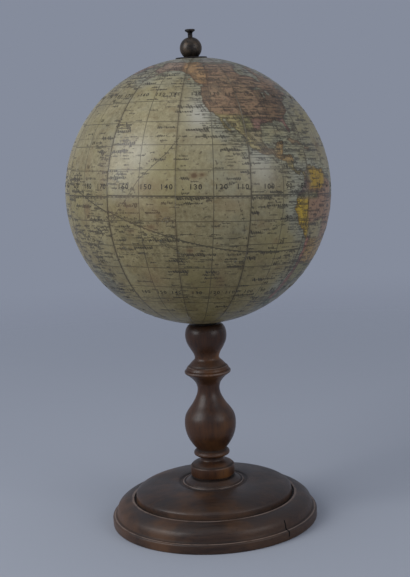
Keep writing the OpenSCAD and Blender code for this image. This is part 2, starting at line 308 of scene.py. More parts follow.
def old_wood(name, along, seed, dark, light, glow, faded):
    """Dark stained wood with grain along one axis, a dusty grey film with painted sheen on faces turned up,
    pale rubbed edges with a few painted highlight lines, and painted shade in hollows. The glow colour
    grows stronger towards one side along X, as the ramp in faded says: painted light on that side."""
    finish, shader, place = new_finish(name)
    grain_scale = [LONG_GRAIN if i == along else FINE_GRAIN for i in range(3)]
    moved = place.node("ShaderNodeMapping", {}, {"Vector": place, "Location": (seed, seed, seed)})
    grain = speckle(stretched(moved, grain_scale), 1.0, 4, 0.6, 0.3)
    pores = speckle(stretched(moved, [s * PORES_FINER for s in grain_scale]), 1.0, 2, 0.5).ramp(0.60, 0.72)
    cloud = speckle(moved, 34, 3, 0.5)
    dust, worn, soiled = (
        place.node("ShaderNodeAttribute", {"attribute_name": kept}, out="Fac")
        for kept in ("dust", "worn", "soiled"))
    stops = [(0.30, dark), (0.72, light)]
    colour = grain.node("ShaderNodeValToRGB", {"stops": stops}, {0: grain})
    # Painted light: the glow colour in clouds is the stain's own, but it grows towards the side the ramp
    # gives, where the lamps light the piece.
    side = place.node("ShaderNodeSeparateXYZ", {}, {0: place}).ramp(*faded)
    colour = (cloud.ramp(0.40, 0.64) * side).tint(colour, glow)
    # A dusty grey film on faces turned up, partly painted sheen: the reflection of the bluish room.
    bloom_and_sheen = speckle(moved, 60, 4, 0.6).ramp(0.34, 0.62, 0.15, 0.75) * dust
    colour = bloom_and_sheen.tint(colour, BLOOM_AND_SHEEN)
    colour = (pores * 0.6).tint(colour, PORE)
    # Pale lines on edges: rubbed wear, and on the base also two painted highlight lines.
    rubbed = (worn * speckle(moved, 130, 3, 0.6).ramp(0.28, 0.56, 0.5, 1.0)).ramp(0.16, 0.75)
    colour = (rubbed * 0.85).tint(colour, PALE_LINE_COLOUR)
    # Painted shade in hollows and under edges, which is also made rougher.
    painted_shade = soiled * speckle(moved, 90, 3, 0.6).ramp(0.3, 0.6, 0.6, 1.0)
    colour = (painted_shade * 0.85).tint(colour, SHADE_IN_HOLLOWS)
    crack = worn.ramp(-0.6, -0.1, 1, 0)
    colour = crack.tint(colour, CRACK_DARK)
    colour.feed(shader.inputs["Base Color"])
    dull = cloud.ramp(0.3, 0.7, 0.31, 0.42) + rubbed * 0.12 + bloom_and_sheen * 0.12 + painted_shade * 0.3 + crack * 0.5
    dull.feed(shader.inputs["Roughness"])
    shader.inputs["Specular IOR Level"].default_value = 0.40
    raise_grain(shader, grain * 0.5 - pores, 0.04 * MM)
    return finish


def two_tone(name, spots, reach, colours, rough, metal=0.0, depth=0.0):
    """A mottled finish of two colours. Roughness or metal may be a pair, one for each colour."""
    finish, shader, place = new_finish(name)
    second = speckle(place, *spots).ramp(*reach)
    second.tint(*colours).feed(shader.inputs["Base Color"])
    for socket, value in (("Roughness", rough), ("Metallic", metal)):
        if isinstance(value, tuple):
            second.ramp(0, 1, *value).feed(shader.inputs[socket])
        else:
            shader.inputs[socket].default_value = value
    if depth:
        raise_grain(shader, second, depth)
    return finish


regular = ring(288)
near_crack = [CRACK_AT % math.tau + CRACK_WIDTH / base_r * k for k in (-0.8, -0.5, -0.1, 0.1, 0.5, 0.8)]
keep_off = CRACK_WIDTH / base_r * 1.5
rim_angles = sorted([a for a in regular if abs(a - CRACK_AT % math.tau) > keep_off] + near_crack)
base_outline = (
    corners((6, 1.6), (50, 1.6), (50, 0), (50.4, 0), (63.4, 0))
    + arc(63.4, 0.8, 0.8, -75, 0, 4)
    + arc(63.1, 4.7, 1.1, 0, 90, 8)
    + corners((62.7, 5.81), (62.3, 5.82), (62.0, 5.9))
    + smooth(
        [(61.8, 6.0), (61.5, 7.0), (61.3, 8.3), (60.95, 9.8), (60.2, 11.4), (58.9, 12.7), (57.1, 14.0),
         (55.0, 14.95), (52.7, 15.45)], 5)
    + arc(50.75, 14.85, 0.6, 90, 180, 8)
    + corners(
        (50.0, 14.45), (49.7, 14.3), (49.3, 14.3), (49.15, 14.4), (49.0, 15.0), (48.9, 16.0), (48.87, 17.0),
        (48.85, 18.0))
    + smooth(
        [(48.7, 18.6), (48.3, 19.1), (47.5, 19.8), (46.2, 20.55), (44.5, 21.3), (42.0, 22.2),
         (38.0, 23.2), (33.0, 23.9), (28.0, 24.25), (24.0, 24.3), (22.0, 24.1)], 6)
    + corners((21.6, 23.85), (21.3, 23.6), (20.9, 23.5), (19.7, 23.5), (19.4, 23.65), (19.3, 23.9))
    + arc(18.7, 23.9, 0.5, 20, 110, 6)
    + corners((18.2, 24.2), (17.8, 24.0), (17.4, 24.1), (17.3, 24.2))
    + smooth([(17.2, 24.7), (16.6, 25.1), (15.3, 25.9), (14.2, 26.7), (13.2, 27.0)])
    + corners((8.05, 27.0), (8.05, 8.95), (2.05, 8.95), (2.05, 5), (6, 5))
)
# Pale lines on the edges, in millimetres: rubbed wear, but the faint lines on the ogee (60.4) and at the
# dome's corner (48.75) are painted highlights.
base_rubbed_and_glints = (
    (62.95, 5.8, 0.5, 1.0), (60.4, 11.1, 0.5, 0.2), (50.85, 15.45, 0.8, 1.0), (48.75, 18.5, 0.4, 0.3),
    (18.8, 24.4, 0.42, 0.8))
# Painted shade, in millimetres: inside the band, in the quirk, in the valley and groove round the hub, and
# under the stem's foot.
base_hollow_shade = (
    (61.6, 6.2, 0.5, 0.5), (49.3, 14.4, 1.0, 1.0), (20.4, 23.5, 1.5, 0.5), (17.6, 24.0, 0.5, 0.8),
    (13.0, 27.0, 1.0, 0.9))
base = turned("turned_base", base_outline, rim_angles, base_rubbed_and_glints, base_hollow_shade)
pale_line_marks = base.data.attributes["worn"].data
for i, vert in enumerate(base.data.vertices):
    angle = math.atan2(vert.co.y, vert.co.x)
    reach = math.hypot(vert.co.x, vert.co.y)
    from_crack = abs(angle - CRACK_AT) / CRACK_WIDTH * base_r
    if vert.co.z > 2.5 * MM and reach > CRACK_START and from_crack < 0.6:
        pale_line_marks[i].value = -1
        if from_crack < 0.2:
            depth = CRACK_DEEP * min(1, (reach - CRACK_START) / (2 * MM))
            vert.co.x -= depth * math.cos(angle)
            vert.co.y -= depth * math.sin(angle)
            vert.co.z -= depth * 0.6
uneven(base, 140, 0.08 * MM, lambda at: at.z > 1.7 * MM)
# The glow grows towards -X, the left, under the key lamp: painted light.
base_wood = old_wood(
    "base_wood", 0, 3.1, dark=(0.024, 0.0122, 0.0078), light=(0.066, 0.0335, 0.0185),
    glow=(0.115, 0.055, 0.025), faded=(0.05, -0.03, 0.25, 0.9))
dress(base, base_wood, "stand", "dark_wood", "base")

baize_finish, baize_shader, baize_place = new_finish("green_baize")
nap = speckle(baize_place, 2600, 3, 0.7)
faded = speckle(baize_place, 45, 4, 0.6).ramp(0.35, 0.7)
felt = nap.ramp(0.3, 0.75).tint((0.018, 0.055, 0.028), (0.055, 0.125, 0.066))
(faded * 0.5).tint(felt, (0.11, 0.12, 0.07)).feed(baize_shader.inputs["Base Color"])
baize_shader.inputs["Roughness"].default_value = 0.95
raise_grain(baize_shader, nap, 0.3 * MM)
baize_outline = corners((0, 0.7), (49.3, 0.7), (49.5, 0.9), (49.5, 1.55), (0, 1.55))
dress(turned("baize_disc", baize_outline, regular), baize_finish, "stand", "baize", "base_baize")

iron_finish = two_tone(
    "plain_iron", (380, 4, 0.65), (0.45, 0.7), ((0.16, 0.155, 0.15), (0.13, 0.055, 0.025)),
    rough=(0.38, 0.8), metal=(0.9, 0.2), depth=0.05 * MM)


def refinish(finish, *nodes):
    """Gives CAD nodes whose shape is already right their finish."""
    for node in nodes:
        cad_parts[node].data.materials.clear()
        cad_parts[node].data.materials.append(finish)


refinish(iron_finish, "base_screw", "base_screw_washer")


# The stem: one baluster of the same wood, turned between centres, with a foot in two tiers, a bead,
# a vase, a moulded flange and a bulb under the globe. Its tenon is glued and screwed into the base.
# A brass ferrule in its end grain takes the pin.
stem_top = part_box("stem")[1].z


def lift(points):
    """An outline counted from the seat, at its place on the base."""
    return [(x, z + SEAT_Z) for x, z in points]


def from_seat(*marks):
    """Pale lines and painted shade counted from the seat, at their place on the base."""
    return [(r, z + SEAT_Z / MM, wide, much) for r, z, wide, much in marks]


stem_outline = (
    corners((0, 23), (2.05, 23), (2.05, 9.0), (7.7, 9.0), (8.0, 9.4), (8.0, 27.0))
    + lift(
        corners(
            (12.0, 0.05), (12.2, 0.2), (12.2, 1.1), (13.3, 1.4), (13.55, 1.55), (13.65, 1.9), (13.65, 6.6),
            (13.65, 7.0), (13.6, 7.3), (13.4, 7.6), (13.15, 7.68), (12.9, 7.7), (12.82, 7.85))
        + smooth([(12.8, 8.2), (12.0, 8.9), (10.4, 9.7), (8.4, 10.3)])
        + corners(
            (7.9, 10.5), (7.5, 10.8), (7.3, 11.15), (7.2, 11.6), (7.2, 13.0), (7.35, 13.25), (7.6, 13.4),
            (8.4, 13.65))
        + smooth([(9.6, 13.8), (10.8, 14.5), (11.2, 15.4), (10.8, 16.6), (9.5, 17.5)])
        + corners((9.3, 17.65), (9.3, 18.2))
        + smooth(
            [(9.7, 18.9), (11.65, 21.4), (13.8, 25.0), (15.35, 29.1), (16.0, 34.2), (15.5, 38.9),
             (13.65, 42.7), (10.35, 47.3), (7.75, 52.1), (6.9, 56.2), (7.5, 59.8), (9.3, 62.5),
             (11.7, 64.9)], 6)
        + arc(13.1, 67.4, 1.25, -50, 80, 12)
        + smooth([(13.4, 68.9), (12.8, 70.1), (12.2, 70.8)])
        + corners((11.7, 70.95), (11.35, 71.3), (11.3, 71.6))
        + smooth(
            [(10.7, 72.3), (9.4, 73.7), (7.9, 75.2), (7.6, 76.9), (8.5, 79.5), (10.6, 83.0),
             (12.2, 86.4), (12.8, 90.0), (12.4, 93.4), (11.2, 96.0), (9.8, 97.2)], 6)
        + corners((3.25, 97.2), (3.25, 83.15), (1.8, 83.15), (1.8, 69.2), (0, 69.2))
    )
)
stem_worn = from_seat(
    (13.45, 7.5, 0.45, 0.45), (13.5, 1.5, 0.5, 0.2), (11.2, 15.5, 0.7, 0.35), (14.3, 67.6, 0.7, 0.5),
    (12.2, 70.85, 0.45, 0.6))
# Painted shade at the foot's bottom and step, round the bead, and in the neck above the flange.
stem_hollow_shade = from_seat(
    (12.7, 8.0, 0.7, 0.8), (7.4, 12.6, 1.2, 0.5), (9.0, 13.7, 0.8, 0.9), (9.4, 18.0, 0.9, 0.9),
    (11.4, 71.3, 0.8, 0.7), (12.4, 0.7, 0.9, 1.0))
stem = turned("turned_stem", stem_outline, ring(192), stem_worn, stem_hollow_shade)
uneven(stem, 160, 0.06 * MM, lambda at: (
    math.hypot(at.x, at.y) > 6.5 * MM and SEAT_Z + 1 * MM < at.z < stem_top - 2 * MM))
# The glow grows towards +X, the right, under the right lamp: painted light.
stem_wood = old_wood(
    "stem_wood", 2, 7.7, dark=(0.027, 0.0105, 0.0050), light=(0.070, 0.0270, 0.0105),
    glow=(0.200, 0.080, 0.021), faded=(-0.007, 0.011, 0.10, 1.0))
dress(stem, stem_wood, "stand", "dark_wood", "stem")

brass_finish = two_tone(
    "dull_brass", (240, 4, 0.6), (0.35, 0.7), ((0.24, 0.165, 0.075), (0.075, 0.055, 0.032)),
    rough=(0.28, 0.5), metal=1.0)
refinish(brass_finish, "pin_ferrule", "south_bush", "north_bush")


# The pin and what it holds: one long iron pin goes through the finial ball, a loose washer, the
# globe and a second washer into the stem. Its head is flared and slotted. The ball is bronze,
# darkened by handling, and turns on the bare shank.
pin_low, pin_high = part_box("axis_pin")
ball_low, ball_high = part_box("finial_ball")
washer_low, washer_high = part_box("top_washer")
HEAD_HIGH, PIN_R, WASHER_BORE, BALL_R, BALL_FOOT = (d * MM for d in (2.6, 1.4, 1.9, 6.55, 5.3))
RUNNING_GAP = 0.08 * MM
SLOT_CUT, SLOT_TURN = (10 * MM, 0.8 * MM, 1.8 * MM), math.radians(25)
head_z = pin_high.z - HEAD_HIGH
few = ring(64)


def plain_mesh(piece):
    """What a piece's modifiers or letters make, as a plain mesh."""
    bpy.context.view_layer.update()
    return bpy.data.meshes.new_from_object(piece.evaluated_get(bpy.context.evaluated_depsgraph_get()))


black_finish = two_tone(
    "black_iron", (520, 4, 0.65), (0.4, 0.72), ((0.014, 0.0135, 0.014), (0.045, 0.032, 0.025)),
    rough=(0.36, 0.62), metal=(0.75, 0.35), depth=0.06 * MM)

pin_outline = [(0, pin_low.z), (PIN_R * 0.7, pin_low.z), (PIN_R, pin_low.z + 0.5 * MM), (PIN_R, head_z)]
pin_outline += [
    (r, head_z + z)
    for r, z in smooth([(1.45, 0.2), (1.8, 0.65), (2.6, 1.15), (3.0, 1.5)])
    + smooth([(3.05, 1.75), (2.9, 2.2), (2.4, 2.48), (1.3, 2.58), (0, 2.6)])]
pin = turned("axis_pin_dressed", pin_outline, few)
bpy.ops.mesh.primitive_cube_add(size=1)
slot_cutter = bpy.context.object
slot_cutter.dimensions = SLOT_CUT
slot_cutter.rotation_euler.z = SLOT_TURN
slot_cutter.location.z = pin_high.z + 0.05 * MM
cut = pin.modifiers.new("slot", "BOOLEAN")
cut.operation, cut.object, cut.solver = "DIFFERENCE", slot_cutter, "EXACT"
pin_mesh = plain_mesh(pin)
pin.modifiers.clear()
pin.data = pin_mesh
bpy.data.objects.remove(slot_cutter)
dress(pin, black_finish, "stand", "dark_iron", "axis_pin")

washer_r = washer_high.x
low, high, edge = washer_low.z, washer_high.z, 0.25 * MM
washer_outline = [
    (WASHER_BORE, low), (washer_r - edge, low), (washer_r, low + edge),
    (washer_r, high - edge), (washer_r - edge, high), (WASHER_BORE, high)]
dress(turned("pole_washer", washer_outline, few), black_finish, "stand", "dark_iron", "top_washer")
refinish(black_finish, "lower_washer")

bronze_finish, bronze_shader, bronze_place = new_finish("dark_bronze")
patina = speckle(bronze_place, 210, 5, 0.62, 0.4)
spots = speckle(bronze_place, 900, 2, 0.5).ramp(0.62, 0.74)
skin = patina.ramp(0.35, 0.68).tint((0.038, 0.033, 0.029), (0.105, 0.077, 0.053))
spots.tint(skin, (0.02, 0.018, 0.017)).feed(bronze_shader.inputs["Base Color"])
bronze_shader.inputs["Metallic"].default_value = 0.7
patina.ramp(0.3, 0.7, 0.34, 0.5).feed(bronze_shader.inputs["Roughness"])
raise_grain(bronze_shader, patina - spots * 0.6, 0.08 * MM)

ball_z = ball_low.z + BALL_FOOT
lowest, highest = (math.degrees(math.asin((z - ball_z) / BALL_R)) for z in (ball_low.z, ball_high.z))
bore = PIN_R + RUNNING_GAP
ball_outline = [(bore, ball_low.z), *[
    (x, z + ball_z) for x, z in arc(0, 0, BALL_R / MM, lowest, highest, 40)], (bore, ball_high.z)]
dress(turned("ball_finial", ball_outline, few), bronze_finish, "finial", "finial_bronze", "finial_ball")


# Inside the globe, out of sight: two half shells of pulped and pasted paper, closed with a linen
# strip and tacked to a wooden disc at each pole. A bored bar keeps the discs apart, and a smooth
# plaster ground, brown where it shows in the joints of the print, makes the ball true.
pulp_finish, pulp_shader, pulp_place = new_finish("pasted_paper")
layers = speckle(stretched(pulp_place, (90, 90, 260)), 1.0, 5, 0.65, 0.6)
layers.ramp(0.3, 0.7).tint((0.30, 0.23, 0.14), (0.46, 0.39, 0.27)).feed(pulp_shader.inputs["Base Color"])
pulp_shader.inputs["Roughness"].default_value = 0.9
raise_grain(pulp_shader, layers, 0.4 * MM)
refinish(pulp_finish, "south_shell", "north_shell")

bare_finish, bare_shader, bare_place = new_finish("bare_softwood")
rings = speckle(stretched(bare_place, (260, 260, 14)), 1.0, 4, 0.6)
rings.ramp(0.3, 0.7).tint((0.36, 0.22, 0.10), (0.60, 0.43, 0.24)).feed(bare_shader.inputs["Base Color"])
bare_shader.inputs["Roughness"].default_value = 0.7
raise_grain(bare_shader, rings, 0.1 * MM)
refinish(bare_finish, "south_block", "north_block", "spindle")

linen_finish, linen_shader, linen_place = new_finish("glued_linen")
weave = {"Vector": linen_place, "Scale": 420}
threads = linen_place.node("ShaderNodeTexWave", {"bands_direction": "Z"}, weave)
threads = threads + speckle(linen_place, 900, 2)
threads.ramp(0.5, 1.4).tint((0.36, 0.31, 0.21), (0.62, 0.57, 0.45)).feed(linen_shader.inputs["Base Color"])
linen_shader.inputs["Roughness"].default_value = 0.9
raise_grain(linen_shader, threads, 0.1 * MM)
refinish(linen_finish, "joint_tape")

ground_finish = two_tone(
    "plaster", (70, 4, 0.6), (0.3, 0.7), ((0.085, 0.065, 0.04), (0.17, 0.135, 0.085)), rough=0.85)
refinish(ground_finish, "plaster_ground")
refinish(iron_finish, "south_tacks", "north_tacks")


# The printed paper: twelve boat-shaped gores and two round calottes, engraved, coloured by hand,
# pasted on the plaster and varnished, now yellowed and stained. The print sits a little askew on
# the ball and each gore a little off its neighbours. The map is drawn here from rough coast points.
GLOBE_R = 80 * MM
PAPER, PASTE, POLE_LOSS = 0.2 * MM, 0.05 * MM, 0.8 * MM
globe_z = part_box("plaster_ground")[0].z + GLOBE_R - PAPER - PASTE
GORES, GORE_WIDTH, JOINT_GAP = 12, 30.0, 0.14 * MM
FIRST_JOINT = -99.1  # where this joint stands round the pin, in degrees from the X axis
LON_AT_FIRST_JOINT = -135.0  # the longitude printed beside it
LEAN_X, LEAN_Y = math.radians(2.8), math.radians(-2.7)
CALOTTE_LAT = 70.0
print_turn = Matrix.Rotation(LEAN_X, 3, "Y") @ Matrix.Rotation(LEAN_Y, 3, "X")

# Coasts as rough points of (longitude, latitude)
COASTS = {
    "north_america": [
        (-168, 65.6), (-163, 66.2), (-166.5, 68.3), (-162, 70.3), (-156.5, 71.3), (-150, 70.5),
        (-141, 69.6), (-135, 69.3), (-128, 70.2), (-124, 69.9), (-115, 68.2), (-108, 68), (-101, 67.8),
        (-96, 68), (-95, 71.5), (-92, 71.5), (-91, 69.5), (-86, 68), (-82, 69.5), (-82, 67), (-86.5, 66.3),
        (-88, 64), (-93.5, 62), (-94.7, 59), (-92.5, 57), (-88, 56.5), (-82.3, 55.2), (-82, 53),
        (-79, 51.5), (-78.8, 54.5), (-76.6, 57), (-78.3, 59), (-77.5, 62.3), (-73.5, 62.3), (-70, 61),
        (-69.5, 59), (-67.5, 58.4), (-65, 60.2), (-62, 57.5), (-58, 54.5), (-55.7, 52.4), (-60, 50.2),
        (-66.5, 50.2), (-69.5, 48), (-65, 49.2), (-64.8, 46.8), (-61, 46), (-61.2, 45.4), (-65.5, 43.6),
        (-66, 45), (-69.8, 43.8), (-70.6, 42), (-70, 41.8), (-73.8, 40.7), (-74.9, 39), (-75.9, 37),
        (-75.6, 35.3), (-78.5, 33.8), (-81.1, 32), (-81.3, 29.8), (-80.1, 26.8), (-80.6, 25.2),
        (-81.8, 26), (-82.8, 28), (-84, 30), (-86.5, 30.4), (-89.4, 30.3), (-89.6, 29.2), (-92, 29.6),
        (-94.8, 29.4), (-97.3, 27.6), (-97.5, 24), (-97.7, 22), (-96.4, 19.3), (-94.4, 18.1),
        (-91.8, 18.6), (-90.4, 21), (-87, 21.5), (-87.6, 19), (-88.3, 17), (-88.6, 15.9), (-84.5, 15.9),
        (-83.3, 14.8), (-83.6, 11.5), (-82, 9), (-79.6, 9.6), (-77.4, 8.6), (-77.9, 7.3), (-79.6, 8.9),
        (-80.4, 7.4), (-82.9, 8.2), (-83.8, 9.3), (-85.8, 10.2), (-87.5, 12.9), (-91.5, 14), (-94, 16.1),
        (-96.6, 15.7), (-101, 17.4), (-104, 19), (-105.5, 20.6), (-105.4, 22.5), (-108.2, 25.2),
        (-109.5, 26.6), (-112.4, 29.5), (-113.2, 31.3), (-114.8, 31.6), (-114.2, 29.8), (-111.5, 26.5),
        (-109.5, 23.2), (-110.3, 23.4), (-112.2, 25.5), (-114.6, 27.2), (-115.7, 29.8), (-117.2, 32.6),
        (-118.6, 34.1), (-120.7, 34.6), (-122.5, 37.3), (-124, 40), (-124.2, 43), (-124, 46.2),
        (-124.7, 48.4), (-122.6, 48.3), (-125.5, 50.5), (-128, 51.5), (-130.3, 54.6), (-133, 57.5),
        (-136.6, 58.6), (-139.8, 59.7), (-144, 60.1), (-148.5, 60.5), (-151.8, 59.3), (-151, 61.1),
        (-154, 59.3), (-158, 56.8), (-162.5, 55), (-164.8, 54.6), (-160.5, 56.2), (-157.6, 58.6),
        (-162, 58.7), (-162.2, 60), (-165.5, 61.2), (-164.8, 63), (-161, 64.4), (-166.2, 64.5)],
    "south_america": [
        (-77.4, 8.6), (-75.5, 10.7), (-72, 12.2), (-71.5, 11), (-70, 12), (-68, 10.6), (-64, 10.3),
        (-61.9, 10.7), (-60, 8.5), (-57, 6), (-52, 5), (-50, 1.8), (-50.5, -0.5), (-47, -0.8), (-44, -2.7),
        (-40, -2.9), (-35.3, -5.2), (-34.8, -8), (-37.2, -11.2), (-39, -13.5), (-39, -17.6), (-40.9, -22),
        (-44.5, -23.1), (-48.5, -25.8), (-48.7, -28.4), (-52.2, -32.2), (-54.9, -34.9), (-58, -34),
        (-57, -36.5), (-58, -38.4), (-62.2, -39), (-65, -41), (-63.6, -42.6), (-65.5, -45), (-67.5, -46.2),
        (-65.8, -47.8), (-69, -50.5), (-68.4, -52.4), (-65.2, -54.7), (-68.5, -55.6), (-72, -54),
        (-74.5, -52), (-75.5, -48.5), (-74, -44), (-73.5, -41), (-73.3, -37.2), (-71.8, -33), (-71.9, -29),
        (-71.5, -24), (-72.3, -18.4), (-78, -14), (-81, -10), (-83.6, -6), (-82.7, -3.3), (-82.4, -1),
        (-80.8, 0.8), (-77.7, 4), (-77.8, 7.2)],
    "africa": [
        (-5.9, 35.8), (-2, 35.1), (3, 36.9), (10, 37.3), (11, 35), (10.3, 34), (15, 32.3), (19.5, 30.4),
        (20.5, 32.7), (25, 31.6), (31, 31.5), (32.5, 31.1), (32.6, 29.9), (35.5, 24), (37.3, 21),
        (38.6, 18), (43.2, 12.5), (43.3, 11.6), (51.2, 11.9), (50.5, 9), (46.5, 3), (42, -1.2), (39.3, -5),
        (40.6, -11), (40.5, -15.5), (35, -20), (35.5, -23.8), (32.8, -26), (32, -29), (28, -33),
        (22, -34.1), (18.4, -34.2), (17, -29), (14.5, -22.5), (11.8, -17), (13.7, -11), (12.2, -6),
        (9, -1), (9.7, 3.8), (6, 4.3), (3, 6.4), (-2, 4.8), (-7.5, 4.4), (-13, 8.5), (-16.7, 12.5),
        (-17.4, 14.8), (-16.3, 19), (-17, 21), (-13, 27.7), (-9.7, 30), (-9.3, 32.5), (-6.5, 34)],
    "europe_and_asia": [
        (-9, 38.7), (-8.8, 43.2), (-1.8, 43.4), (-1.2, 46), (-4.7, 48.4), (-1.6, 48.7), (1.6, 50.9),
        (4, 51.8), (8.5, 53.8), (8.2, 57), (10.6, 57.7), (10.5, 55), (12, 54.3), (14.2, 53.9),
        (18.6, 54.6), (21, 55.5), (21.5, 57.4), (24, 57.2), (23.5, 59.2), (28, 59.6), (30, 60), (25, 60.2),
        (22.8, 60), (21.3, 61), (21.5, 63), (25.3, 65), (22, 65.7), (17.5, 62), (17.2, 60.6), (18.8, 59.8),
        (16.5, 57), (14.2, 55.4), (12.9, 55.6), (11, 59), (8, 58), (5.3, 59), (5, 62), (10.5, 64.5),
        (13, 67.5), (19, 69.9), (25.5, 71), (31, 70.3), (41, 67.5), (40, 66.3), (33, 66.7), (35, 64.3),
        (37.5, 64), (40, 64.8), (44, 66), (44, 68.3), (54, 68.4), (60.5, 69.3), (68, 68.4), (67, 71),
        (70, 73), (73, 71.5), (74, 68), (78, 72.2), (87, 75), (98, 76.3), (104, 77.6), (112, 76.5),
        (110, 74), (114, 73.6), (127, 73), (131, 71), (140, 72.6), (152, 71), (160, 69.7), (170, 69.9),
        (178, 69.4), (184, 67.4), (190, 66.2), (187, 64.5), (181, 65.3), (178, 64.6), (179.3, 62.5),
        (170.3, 60), (163.3, 59.8), (162, 58), (163.3, 56.2), (156.8, 51), (155.6, 54.5), (156.8, 57.8),
        (161.8, 60.3), (164.2, 62.5), (160, 61.8), (155, 59.2), (142.5, 59.3), (135.3, 54.8), (141.2, 53),
        (140.3, 48.5), (135.5, 44.5), (132, 43.1), (129.8, 41.6), (127.5, 39.8), (129.4, 37),
        (129.2, 35.2), (126.4, 34.4), (126.8, 37), (124.8, 39.6), (121.5, 38.9), (122, 40.6), (118, 39.1),
        (119, 37.3), (122.5, 37.2), (119.2, 34.9), (121.8, 31.9), (121.8, 28.5), (118, 24.4), (114, 22.3),
        (110.4, 21.2), (108, 21.6), (105.8, 19), (109.2, 13.5), (107, 10.4), (104.9, 8.6), (104.8, 10.4),
        (102.5, 12), (100.7, 13.4), (99.3, 10), (100.6, 7.2), (103.4, 4.5), (104.2, 1.4), (103.4, 1.4),
        (100.6, 4.5), (98.3, 8), (98.6, 13), (97.6, 16.3), (94.3, 16), (92, 21.5), (90.5, 22.5),
        (87, 21.4), (82.3, 16.6), (80.2, 14.5), (79.8, 10.3), (77.6, 8.1), (76, 11), (73.5, 16),
        (72.8, 20), (70.5, 20.8), (69, 22.4), (66.7, 25), (61.5, 25.1), (57, 26.8), (51.5, 27.8),
        (48.5, 30.2), (50, 26.5), (51.6, 25.6), (51.6, 24.3), (54.5, 24.2), (56.3, 26.2), (56.8, 24.2),
        (59.8, 22.5), (57.8, 18.9), (52.2, 15.6), (45, 12.8), (43.3, 12.8), (42.7, 16.5), (39, 21),
        (35.2, 28), (34.3, 28), (32.6, 29.9), (32.5, 31.1), (34.3, 31.3), (35.9, 35.5), (36.2, 36.8),
        (32.5, 36.1), (30.6, 36.8), (27.4, 36.8), (26.2, 39.3), (29, 41), (35, 42), (41.5, 41.6),
        (38, 44.5), (39.2, 47.2), (35, 46.2), (33.5, 44.5), (32, 46.2), (30.5, 46.2), (28, 43.5),
        (28.8, 41.2), (26, 40.8), (22.8, 40.4), (24, 37.7), (22.8, 36.5), (21.3, 37.7), (19.4, 41.5),
        (13.7, 45.6), (12.4, 44.6), (16, 41.8), (18.4, 40), (16.6, 38), (15.8, 40), (12.2, 41.8),
        (8.8, 44.4), (4, 43.5), (3, 42), (-0.3, 39.2), (-2.2, 36.8), (-5.6, 36), (-8.8, 37)],
    "australia": [
        (142.5, -10.7), (143.6, -14.2), (145.3, -15), (146.4, -19), (149.5, -22), (153.2, -25.5),
        (153.5, -28.5), (151.3, -33.7), (150, -37.4), (146.4, -39.1), (143.5, -38.8), (140.5, -38),
        (138.3, -35.4), (137.8, -33), (135.8, -34.8), (134, -32.6), (131, -31.5), (126, -32.3),
        (123.5, -33.9), (118, -35.1), (115.1, -34.3), (115.7, -31.7), (113.7, -26), (113.8, -22.5),
        (117.5, -20.6), (121.5, -18.6), (122.3, -17.3), (125, -14.6), (128.5, -14.9), (130.5, -12.4),
        (132.5, -11.3), (136.8, -12.2), (135.5, -15), (139.3, -17.5), (141, -17), (141.7, -13)],
    "greenland": [
        (-73, 78.2), (-68, 76.2), (-60, 76), (-54.5, 72.5), (-51.5, 69.5), (-53.5, 67), (-52, 64.3),
        (-48.5, 61.2), (-44, 60), (-42.5, 61.5), (-40.5, 64.7), (-33, 67.8), (-23, 70.2), (-22, 73),
        (-19, 76.5), (-20, 80), (-30, 82.8), (-45, 82), (-62, 81.6), (-66, 80)],
    "baffin": [
        (-65, 61.9), (-66, 64), (-62, 66.8), (-68, 70), (-78, 73.6), (-88, 73.5), (-89, 71), (-80, 69.8),
        (-73, 67.8), (-74, 64.5), (-78, 64.3), (-71, 62.5)],
    "victoria": [(-117, 70), (-105, 69), (-105, 72.5), (-117, 73), (-124, 74.3), (-125, 72)],
    "ellesmere": [(-90, 76.2), (-80, 76.3), (-76, 79), (-63, 82), (-80, 83), (-92, 81)],
    "southampton": [(-87, 65.5), (-80.5, 63.8), (-86, 63.8)],
    "newfoundland": [(-59.3, 47.7), (-55.8, 51.5), (-53, 48), (-53.5, 46.7)],
    "cuba": [(-84.8, 21.9), (-82, 23.1), (-77.5, 21.8), (-74.2, 20.2), (-77.5, 19.9), (-78, 20.8)],
    "haiti": [(-74.4, 18.4), (-72.5, 19.9), (-68.5, 18.6), (-71.5, 17.8)],
    "iceland": [(-24, 65.5), (-22, 66.4), (-14, 65.2), (-18.5, 63.4), (-22.5, 63.9)],
    "vancouver": [(-128.3, 50.8), (-125, 50), (-123.5, 48.4), (-126, 49.3)],
    "madagascar": [(49.3, -12), (50.4, -15.8), (47.2, -24.9), (44, -25), (43.4, -22), (44.4, -16.5)],
    "britain": [
        (-5.5, 50.1), (-3, 53.4), (-4.7, 54.7), (-5.5, 56.5), (-5, 58.6), (-2, 57.6), (-1.5, 55),
        (0.3, 53), (1.7, 52.6), (1.3, 51.2), (-2, 50.6)],
    "ireland": [(-10, 51.8), (-9.5, 54.2), (-6.5, 55.2), (-6, 53), (-6.6, 52.2)],
    "new_land": [(52, 71.5), (56, 73.5), (66, 76.8), (68.5, 76.5), (58, 73), (57, 70.8)],
    "spitsbergen": [(11, 79.5), (20, 80.2), (27, 80), (17, 76.7)],
    "japan": [
        (130.3, 31.3), (129.8, 33), (131, 34.4), (135.5, 35.6), (137, 37.3), (139.7, 39), (141, 41.4),
        (142, 39.6), (140.8, 36.5), (139.8, 35), (135.8, 33.5), (133, 34.2), (132, 33.2), (131.5, 31.5)],
    "yesso": [(140, 41.6), (141.6, 45.4), (145.3, 43.3), (143.2, 42)],
    "sakhalin": [(142, 46), (142, 53), (143, 54.3), (144.6, 49), (143.3, 46.5)],
    "luzon": [(120.3, 16), (120.7, 18.5), (122.2, 18.3), (124, 13), (120.7, 13.9)],
    "mindanao": [(122, 7), (125.5, 9.6), (126.4, 7), (125.4, 5.8)],
